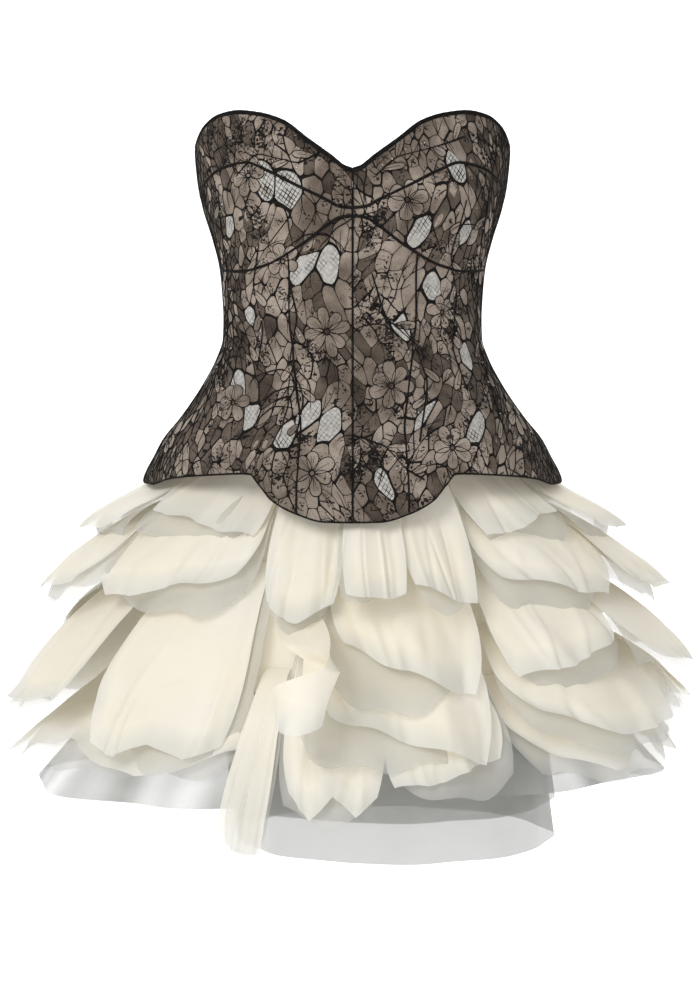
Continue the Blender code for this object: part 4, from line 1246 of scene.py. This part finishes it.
def line_half(i, j, share, kinds):
    """Half the width of the cord between two cells, or none where they run together."""
    mark = abs(math.sin(37.0 * (i + j) + 11.0 * abs(i - j)))
    if j >= 0 and mark > OPEN_SHARE and "window" not in (kinds[i], kinds[j]):
        return 0.0
    return LINE_HALF + LINE_VARIES * mark / OPEN_SHARE * (0.4 + 0.6 * mark) + SIDE_LINE_MORE * share


def add_tendrils(cords, chance):
    """Thin cords that wander upright across the cells."""
    for _ in range(TENDRILS):
        spot = np.array((chance.uniform(-0.36, 0.36), chance.uniform(-0.15, 0.18)))
        heading = math.radians(chance.uniform(48, 132))
        turning = chance.uniform(-0.16, 0.16)
        steps = int(chance.integers(12, 26))
        path = [spot]
        for k in range(steps):
            heading += turning + 0.12 * math.sin(k * 0.7 + spot[0] * 90)
            spot = spot + np.array((math.cos(heading), math.sin(heading))) * 3.2 * MM
            path.append(spot)
        width = (0.45 + chance.uniform(0.5, 1.0) * np.sin(np.linspace(0.1, math.pi, steps + 1))) * MM
        cords.ribbon(inside_edges(path, 1.4 * MM), width, 0.35 * MM, base=0.5 * MM)


def build_lace():
    """The black corded pattern, its white net windows, the cells of painted shade, most of them at the sides,
    and the lighter cells.
    """
    chance = np.random.default_rng(LACE_SEED)
    cords, windows, shaded_cells, lighter = LaceMesh(), LaceMesh(), LaceMesh(), LaceMesh()
    points, kinds = spread_seeds(chance)
    chart = unsway(points)
    shares = side_share(chart[:, 0], chart[:, 1])
    angles = np.abs(chart_angle(chart[:, 0], chart[:, 1]))
    inside = (chart[:, 1] > HEM(angles) - 4 * MM) & (chart[:, 1] < NECK(angles) + 4 * MM)
    limit = chart_s(180.0 - zip_angle(chart[:, 1]), chart[:, 1])
    inside &= np.abs(chart[:, 0]) < limit + 3 * MM
    thickness = chance.uniform(0.0, 1.0, len(points))
    for i in np.flatnonzero(inside):
        corners, tags = cell_polygon(points, i)
        if len(corners) < 3:
            continue
        widths = np.array([line_half(i, j, shares[i], kinds) for j in tags])
        following = np.roll(corners, -1, axis=0)
        loop = []
        for a, b in zip(corners, following):
            steps = max(1, int(round(np.linalg.norm(b - a) / (2.6 * MM))))
            loop += [a + (b - a) * k / steps for k in range(steps)]
        loop = np.array(loop)
        lengths = np.linalg.norm(loop, axis=1)
        directions = loop / np.maximum(lengths[:, None], 1e-9)
        inner = directions * np.minimum(rounded_outline(corners, widths, directions), lengths * 0.97)[:, None]
        edge = inside_edges(unsway(points[i] + loop), 0.4 * MM)
        hole = inside_edges(unsway(points[i] + inner), 1.2 * MM)
        n = len(loop)
        rise = LINE_RISE * (0.8 + 0.4 * thickness[i])
        cords.add(
            np.concatenate([edge, hole]), np.concatenate([np.full(n, LINE_RISE), np.full(n, -0.1 * MM)]),
            [(k, (k + 1) % n, n + (k + 1) % n, n + k) for k in range(n)],
        )
        centre = inside_edges(chart[i], 1.5 * MM)[0]
        fan = [(k, (k + 1) % n, n) for k in range(n)]
        ring = np.concatenate([hole, centre[None]])
        size = math.sqrt(abs(np.cross(inner, np.roll(inner, -1, axis=0)).sum() / 2))
        if kinds[i] == "window":
            windows.add(ring, 0.30 * MM, fan)
            add_net(cords, hole, chance)
            continue
        # Painted shade: about a quarter of the cells at random, and most cells at the sides, take the shaded
        # ground; a few others take the lighter ground.
        tone = chance.uniform()
        if tone < 0.24 + 0.66 * shares[i]:
            shaded_cells.add(ring, -0.02 * MM, fan)
        elif tone > 0.84:
            lighter.add(ring, -0.02 * MM, fan)
        if size > 5.5 * MM and chance.uniform() < 0.7:
            add_veins(cords, centre, hole, chance)
        if size > 6.5 * MM and chance.uniform() < 0.3:
            add_sprig(cords, centre, size, chance)
    for s, z, radius, count, turn in FLOWERS:
        add_flower(cords, lighter, np.array((s, z)), radius, count, turn, chance)
    for path, leaves in STEMS:
        add_stem(cords, lighter, curve_through(path, 40), leaves, chance)
    add_tendrils(cords, chance)
    add_seams(cords)
    angles = np.linspace(0.0, 178.0, 260)
    for hand in (-1, 1):
        heights = NECK(angles) - 0.5 * MM
        line = np.stack([hand * chart_s(angles, heights), heights], axis=-1)
        cords.ribbon(line, 1.9 * MM, 0.8 * MM, base=0.3 * MM)
    cords.build("lace_cords_front", CORD, "lace", lambda p: turned(p) < FRONT_ENDS)
    cords.build(
        "lace_cords_side", CORD, "lace",
        lambda p: (turned(p) >= FRONT_ENDS) & (turned(p) < BACK_STARTS),
    )
    cords.build("lace_cords_back", CORD, "lace", lambda p: turned(p) >= BACK_STARTS)
    windows.build("lace_net_windows", WINDOW, "lace")
    shaded_cells.build("lace_painted_shade_cells", GROUND_SHADE, "lace")
    lighter.build("lace_lighter_cells", GROUND_LIGHT, "lace")


def add_net(cords, outline, chance):
    """Slanting threads across a window in two directions."""
    centre = outline.mean(axis=0)
    for turn in (chance.uniform(50, 65), chance.uniform(-50, -35)):
        heading = np.array((math.cos(math.radians(turn)), math.sin(math.radians(turn))))
        normal = np.array((-heading[1], heading[0]))
        place = (outline - centre) @ normal
        for offset in np.arange(math.ceil(place.min() / NET_PITCH), place.max() / NET_PITCH) * NET_PITCH:
            ends = []
            for k in range(len(outline)):
                a, b = place[k], place[(k + 1) % len(outline)]
                if (a - offset) * (b - offset) < 0:
                    t = (offset - a) / (b - a)
                    ends.append(outline[k] + (outline[(k + 1) % len(outline)] - outline[k]) * t)
            if len(ends) >= 2 and np.linalg.norm(ends[1] - ends[0]) > 2 * MM:
                path = np.linspace(ends[0], ends[1], 5)
                path[1:-1] += normal * chance.normal(0.0, 0.16 * MM, (3, 1))
                cords.ribbon(path, 0.75 * MM, 0.3 * MM, base=0.08 * MM)


def add_veins(cords, centre, outline, chance):
    """One to three thin curved threads from one side of a cell."""
    start = outline[int(chance.integers(len(outline)))]
    for _ in range(int(chance.integers(1, 4))):
        turn = math.radians(chance.uniform(-34, 34))
        toward = centre - start
        toward = np.array((
            toward[0] * math.cos(turn) - toward[1] * math.sin(turn),
            toward[0] * math.sin(turn) + toward[1] * math.cos(turn),
        ))
        end = start + toward * chance.uniform(0.9, 1.5)
        bend = np.array((-toward[1], toward[0])) * chance.uniform(-0.25, 0.25)
        t = np.linspace(0.0, 1.0, 6)[:, None]
        path = start * (1 - t) + end * t + bend * (t * (1 - t) * 4) * 0.5
        width = np.linspace(0.75, 0.35, 6) * MM
        cords.ribbon(inside_edges(path, 1.5 * MM), width, 0.25 * MM, base=0.02 * MM)


def add_sprig(cords, centre, size, chance):
    """A loose group of small dark stitches."""
    for _ in range(int(chance.integers(5, 12))):
        spot = centre + chance.normal(0.0, size * 0.17, 2)
        turn = chance.uniform(0, math.pi)
        half = np.array((math.cos(turn), math.sin(turn))) * chance.uniform(0.5, 1.5) * MM
        path = np.array([spot - half, spot + half * 0.2, spot + half])
        cords.ribbon(inside_edges(path, 1.5 * MM), np.array((0.3, 1.0, 0.4)) * MM, 0.3 * MM, base=0.02 * MM)


def add_leaf(cords, fills, base, heading, length, width, veins=1):
    """A leaf or petal: a light cell with a corded edge and thin veins."""
    outline = inside_edges(petal_outline(base, heading, length, width), 1.2 * MM)
    centre = outline.mean(axis=0)
    n = len(outline)
    fills.add(np.concatenate([outline, centre[None]]), 0.62 * MM, [(k, (k + 1) % n, n) for k in range(n)])
    cords.ribbon(outline, 0.95 * MM, 0.45 * MM, closed=True, base=0.5 * MM)
    forward = np.array((math.cos(heading), math.sin(heading)))
    for k in range(veins):
        lean = (k - (veins - 1) / 2) * 0.22
        t = np.linspace(0.05, 0.78 - 0.1 * abs(lean) * 4, 6)[:, None]
        aside = np.array((-forward[1], forward[0]))
        path = base + forward * length * t + aside * length * lean * t
        cords.ribbon(inside_edges(path, 1.2 * MM), np.linspace(0.6, 0.3, 6) * MM, 0.2 * MM, base=0.64 * MM)


def add_flower(cords, fills, centre, radius, count, turn, chance):
    """Petals round a small ring, none of them quite alike."""
    for k in range(count):
        heading = math.radians(turn + 360.0 * k / count + chance.uniform(-7, 7))
        length = radius * chance.uniform(0.82, 1.08)
        width = 2 * math.pi * radius * 0.62 / count * chance.uniform(0.92, 1.12)
        base = centre + np.array((math.cos(heading), math.sin(heading))) * radius * 0.12
        add_leaf(cords, fills, base, heading, length, width, int(chance.integers(0, 3)))
    t = np.linspace(0, 2 * math.pi, 10, endpoint=False)
    ring = centre + np.stack([np.cos(t), np.sin(t)], axis=-1) * radius * 0.15
    cords.ribbon(inside_edges(ring, 1.2 * MM), 1.1 * MM, 0.5 * MM, closed=True, base=0.68 * MM)


def add_stem(cords, fills, path, leaves, chance):
    """A thick winding cord with leaves on both sides."""
    path = inside_edges(path, 1.4 * MM)
    width = (1.3 + 0.5 * np.sin(np.linspace(0, 9, len(path)))) * MM
    for k in range(leaves):
        i = int((k + chance.uniform(0.3, 0.8)) / leaves * (len(path) - 2))
        along = path[i + 1] - path[i]
        side = 1 if k % 2 else -1
        heading = math.atan2(along[1], along[0]) + side * math.radians(chance.uniform(28, 58))
        leaf_length, leaf_width = chance.uniform(13, 21) * MM, chance.uniform(5.5, 8.5) * MM
        add_leaf(cords, fills, path[i], heading, leaf_length, leaf_width, 1)
    cords.ribbon(path, width, 0.7 * MM, base=0.55 * MM)


def add_seams(cords):
    """Thick black cords over the seams and along the hem."""
    lines = []
    for hand in (-1, 1):
        angles = np.linspace(0.0, 90.0, 70)
        for seam in (UPPER_CUP, UNDER_BUST):
            heights = seam(angles)
            lines.append((hand * chart_s(angles, heights), heights, 2.7 * MM, 0.95 * MM))
        heights = np.linspace(float(UNDER_BUST(27.0)), float(HEM(15.0)) + MM, 70)
        lines.append((hand * chart_s(PRINCESS(heights), heights), heights, 1.9 * MM, 0.8 * MM))
        heights = np.linspace(float(NECK(90.0)) - MM, float(HEM(90.0)) + MM, 70)
        lines.append((hand * chart_s(np.full(70, 90.0), heights), heights, 2.0 * MM, 0.85 * MM))
        heights = np.linspace(float(NECK(139.0)) - MM, float(HEM(147.0)) + MM, 70)
        lines.append((hand * chart_s(BACK_PRINCESS(heights), heights), heights, 1.9 * MM, 0.8 * MM))
        angles = np.linspace(0.0, 178.0, 240)
        heights = HEM(angles) + 0.7 * MM
        lines.append((hand * chart_s(angles, heights), heights, 1.5 * MM, 0.7 * MM))
    heights = np.linspace(float(NECK(0.0)) - MM, float(HEM(0.0)) + MM, 90)
    for aside in (-0.5 * MM, 0.5 * MM):
        lines.append((np.full(90, aside), heights, 0.9 * MM, 0.6 * MM))
    for s, z, width, height in lines:
        cords.ribbon(np.stack([s, z], axis=-1), width, height, base=0.5 * MM)


# Edge cord, zip and slider


def tube(path, radius, sides=10, closed=False):
    """Vertices and faces of a round cord along a path."""
    path = np.asarray(path, float)
    along = np.gradient(path, axis=0)
    along /= np.linalg.norm(along, axis=1, keepdims=True)
    aside = np.cross(along, (0.0, 0.0, 1.0))
    aside /= np.maximum(np.linalg.norm(aside, axis=1, keepdims=True), 1e-9)
    up = np.cross(aside, along)
    turns = np.arange(sides) * 2 * math.pi / sides
    radius = np.broadcast_to(radius, (len(path),))[:, None, None]
    rings = path[:, None] + radius * (
        aside[:, None] * np.cos(turns)[None, :, None] + up[:, None] * np.sin(turns)[None, :, None]
    )
    faces = [
        (i * sides + k, i * sides + (k + 1) % sides, (i + 1) * sides + (k + 1) % sides, (i + 1) * sides + k)
        for i in range(len(path) - 1) for k in range(sides)
    ]
    faces += [tuple(range(sides))[::-1], tuple(range((len(path) - 1) * sides, len(path) * sides))]
    return rings.reshape(-1, 3), faces


def build_binding():
    """The cord along the whole top edge, from the zip round the front to the zip."""
    angles = np.linspace(0.0, 180.0 - float(zip_angle(0.15)), 200)
    heights = NECK(angles)
    half = body_point(angles, heights, -LACE_WALL / 2)
    path = np.concatenate([(half * np.array([-1, 1, 1]))[:0:-1], half])
    along = np.gradient(path, axis=0)
    along /= np.linalg.norm(along, axis=1, keepdims=True)
    above = np.array((0, 0, 1.0)) - along * along[:, 2:]
    above /= np.linalg.norm(above, axis=1, keepdims=True)
    path = path + above * (SEAT_GAP + BINDING_RADIUS)
    twist = 1.0 + 0.05 * np.sin(np.arange(len(path)) * 1.7)
    item = new_mesh("neck_edge_cord", *tube(path, BINDING_RADIUS * 1.08 * twist), EDGE)
    add_detail(item, nodes=["neck_binding"])


def build_zip():
    """Two woven tapes, a closed coil between them and a row of stitches on each side."""
    heights = np.linspace(float(NECK(180.0)), float(HEM(180.0)), 90)
    half = ZIP_HALF_WIDTH - 2 * SEAT_GAP
    depth = BODY_CURVES[2](heights)
    places = (-half, -1.2 * MM, -0.9 * MM, 0.9 * MM, 1.2 * MM, half)
    grid = np.array([
        [(x, y - 0.1 * MM + (0.15 * MM if abs(x) < MM else 0.0), z) for x in places[::-1]]
        for y, z in zip(depth, heights)
    ])
    tape = new_mesh("zip_tape_weave", grid.reshape(-1, 3), grid_faces(*grid.shape[:2]), ZIP_BLACK)
    add_detail(tape, nodes=["zip_tape"])
    vertices, faces = [], []
    for i, z in enumerate(np.arange(heights[-1] + 2 * MM, heights[0] - 2 * MM, 1.5 * MM)):
        y = float(BODY_CURVES[2](z)) + 0.25 * MM
        side = 0.35 * MM if i % 2 else -0.35 * MM
        across = [(side - 1.1 * MM, y, z), (side, y + 0.35 * MM, z), (side + 1.1 * MM, y, z)]
        points, rings = tube(across, 0.42 * MM, 6)
        faces += [tuple(len(vertices) + k for k in face) for face in rings]
        vertices += list(points)
    add_detail(new_mesh("zip_coil", vertices, faces, EDGE))
    vertices, faces = [], []
    for side in (-1, 1):
        for z in np.arange(heights[-1] + 3 * MM, heights[0] - 3 * MM, 3.2 * MM):
            y = float(BODY_CURVES[2](z)) + 0.1 * MM
            x = side * 2.2 * MM
            upright = [(x, y, z), (x, y + 0.15 * MM, z + 1.0 * MM), (x, y, z + 2.0 * MM)]
            points, rings = tube(upright, 0.22 * MM, 5)
            faces += [tuple(len(vertices) + k for k in face) for face in rings]
            vertices += list(points)
    add_detail(new_mesh("zip_stitches", vertices, faces, CORD))


def build_slider():
    """The slider and its pull keep their solids' shape, with worn black enamel."""
    material, nodes, links, shader = new_material("worn_black_enamel")
    place = add_node(nodes, "ShaderNodeTexCoord")
    wear = add_node(nodes, "ShaderNodeTexNoise", {"Scale": 420.0, "Detail": 4.0})
    links.new(place.outputs["Object"], wear.inputs["Vector"])
    tones = add_node(nodes, "ShaderNodeValToRGB")
    set_ramp(tones, ((0.55, (0.025, 0.025, 0.027)), (0.78, (0.13, 0.125, 0.12))))
    links.new(wear.outputs["Fac"], tones.inputs["Fac"])
    links.new(tones.outputs["Color"], shader.inputs["Base Color"])
    gloss = add_node(nodes, "ShaderNodeMapRange", {"To Min": 0.25, "To Max": 0.5})
    links.new(wear.outputs["Fac"], gloss.inputs["Value"])
    links.new(gloss.outputs["Result"], shader.inputs["Roughness"])
    shader.inputs["Metallic"].default_value = 0.6
    for node in ("zip_slider", "zip_pull"):
        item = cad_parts[node]
        item.data.materials.clear()
        item.data.materials.append(material)


def build_beads():
    """A few small clear beads caught along the lace's stems."""
    chance = np.random.default_rng(5)
    vertices, faces = [], []
    for path, _ in STEMS:
        path = curve_through(path, 40)
        for _ in range(9):
            spot = path[int(chance.integers(3, 37))] + chance.normal(0.0, 5 * MM, 2)
            s, z = inside_edges(spot, 2 * MM)[0]
            angle = float(chart_angle(s, z)[0])
            radius = chance.uniform(0.55, 0.85) * MM
            centre = body_point(angle, z, 0.5 * MM)
            start = len(vertices)
            for ring in (-0.5, 0.5):
                for k in range(6):
                    turn = math.radians(60 * k + 30 * ring)
                    flat = radius * math.cos(math.radians(30))
                    off = np.array((flat * math.cos(turn), flat * math.sin(turn), radius * ring))
                    vertices.append(centre + off)
            vertices += [centre - np.array((0, 0, radius)), centre + np.array((0, 0, radius))]
            for k in range(6):
                j = (k + 1) % 6
                faces.append((start + k, start + j, start + 6 + j, start + 6 + k))
                faces.append((start + 12, start + j, start + k))
                faces.append((start + 13, start + 6 + k, start + 6 + j))
    add_detail(new_mesh("lace_beads", vertices, faces, BEAD))


# Camera, light and stage


def aim(item, target):
    """Turns a light or camera to look at a point, with its top up."""
    direction = np.array(target) - np.array(item.location)
    flat = math.hypot(direction[0], direction[1])
    item.rotation_euler = (math.atan2(flat, -direction[2]), 0.0, math.atan2(-direction[0], direction[1]))


def build_camera():
    lens = bpy.data.cameras.new("camera")
    lens.sensor_fit = "VERTICAL"
    lens.sensor_height = 36.0
    lens.lens = 93.3
    lens.clip_end = 100.0
    camera = bpy.data.objects.new("camera", lens)
    camera.location = (-0.0024, -2.5, 0.0)
    aim(camera, (-0.0024, 0.0, -0.156))
    bpy.context.scene.collection.objects.link(camera)
    bpy.context.scene.camera = camera


def add_light(name, place, target, size, watts, colour=(1.0, 1.0, 1.0)):
    data = bpy.data.lights.new(name, "AREA")
    data.shape = "RECTANGLE"
    data.size, data.size_y = size
    data.energy = watts
    data.color = colour
    item = bpy.data.objects.new(name, data)
    item.location = place
    aim(item, target)
    bpy.context.scene.collection.objects.link(item)


# The backdrop stands well past the camera's distance, so that it isn't between camera and dress from behind
FLOOR = -1.1
SWEEP_FLAT = 5.0
SWEEP_ROUND = 2.0
SWEEP_TOP = 8.0
SWEEP_REACH = 12.0


def build_stage():
    """A pale floor that sweeps up into a backdrop, with soft studio light from all sides."""
    material, nodes, links, shader = new_material("pale_sweep")
    place = add_node(nodes, "ShaderNodeTexCoord")
    grain = add_node(nodes, "ShaderNodeTexNoise", {"Scale": 3.0})
    links.new(place.outputs["Object"], grain.inputs["Vector"])
    tones = add_node(nodes, "ShaderNodeValToRGB")
    set_ramp(tones, ((0.3, (0.93, 0.93, 0.93)), (0.7, (0.96, 0.96, 0.96))))
    links.new(grain.outputs["Fac"], tones.inputs["Fac"])
    links.new(tones.outputs["Color"], shader.inputs["Base Color"])
    shader.inputs["Roughness"].default_value = 0.9
    shader.inputs["Emission Color"].default_value = (1.0, 1.0, 1.0, 1.0)
    parts = add_node(nodes, "ShaderNodeSeparateXYZ")
    links.new(place.outputs["Object"], parts.inputs[0])
    reach = {"From Min": 0.2, "From Max": 1.7, "To Min": 0.06, "To Max": 0.74}
    behind = add_node(nodes, "ShaderNodeMapRange", reach)
    links.new(parts.outputs["Y"], behind.inputs["Value"])
    links.new(behind.outputs["Result"], shader.inputs["Emission Strength"])
    profile = [(-SWEEP_REACH, FLOOR), (SWEEP_FLAT, FLOOR)]
    for turn in np.linspace(0.0, math.pi / 2, 13)[1:]:
        rise = SWEEP_ROUND * (1 - math.cos(turn))
        profile.append((SWEEP_FLAT + SWEEP_ROUND * math.sin(turn), FLOOR + rise))
    profile.append((SWEEP_FLAT + SWEEP_ROUND, SWEEP_TOP))
    vertices = [(x, y, z) for y, z in profile for x in (-SWEEP_REACH, SWEEP_REACH)]
    faces = [(2 * i, 2 * i + 1, 2 * i + 3, 2 * i + 2) for i in range(len(profile) - 1)]
    sweep = new_mesh("floor_sweep", vertices, faces, material)
    world = bpy.context.scene.world or bpy.data.worlds.new("studio")
    bpy.context.scene.world = world
    world.use_nodes = True
    background = world.node_tree.nodes["Background"]
    background.inputs["Color"].default_value = (1.0, 1.0, 1.0, 1.0)
    background.inputs["Strength"].default_value = 0.42
    bpy.context.scene.view_settings.view_transform = "Standard"
    add_light("key", (-1.4, -2.4, 1.6), (0.0, 0.0, -0.1), (1.4, 1.4), 42)
    add_light("fill", (1.8, -2.0, 0.6), (0.0, 0.0, -0.2), (1.8, 1.8), 6)
    add_light("rim", (0.2, 1.6, 1.5), (0.0, 0.0, -0.1), (1.6, 1.0), 10)
    add_light("below", (0.0, -0.6, -1.0), (0.0, 0.0, -0.2), (1.2, 1.2), 2)


build_camera()
build_stage()
build_bodice()
build_lace()
build_beads()
build_binding()
build_zip()
build_slider()
build_foundation()
build_underskirts()
build_flounce()
build_tiers()
build_side_panels()
build_front_petals()
build_rolled_petal()
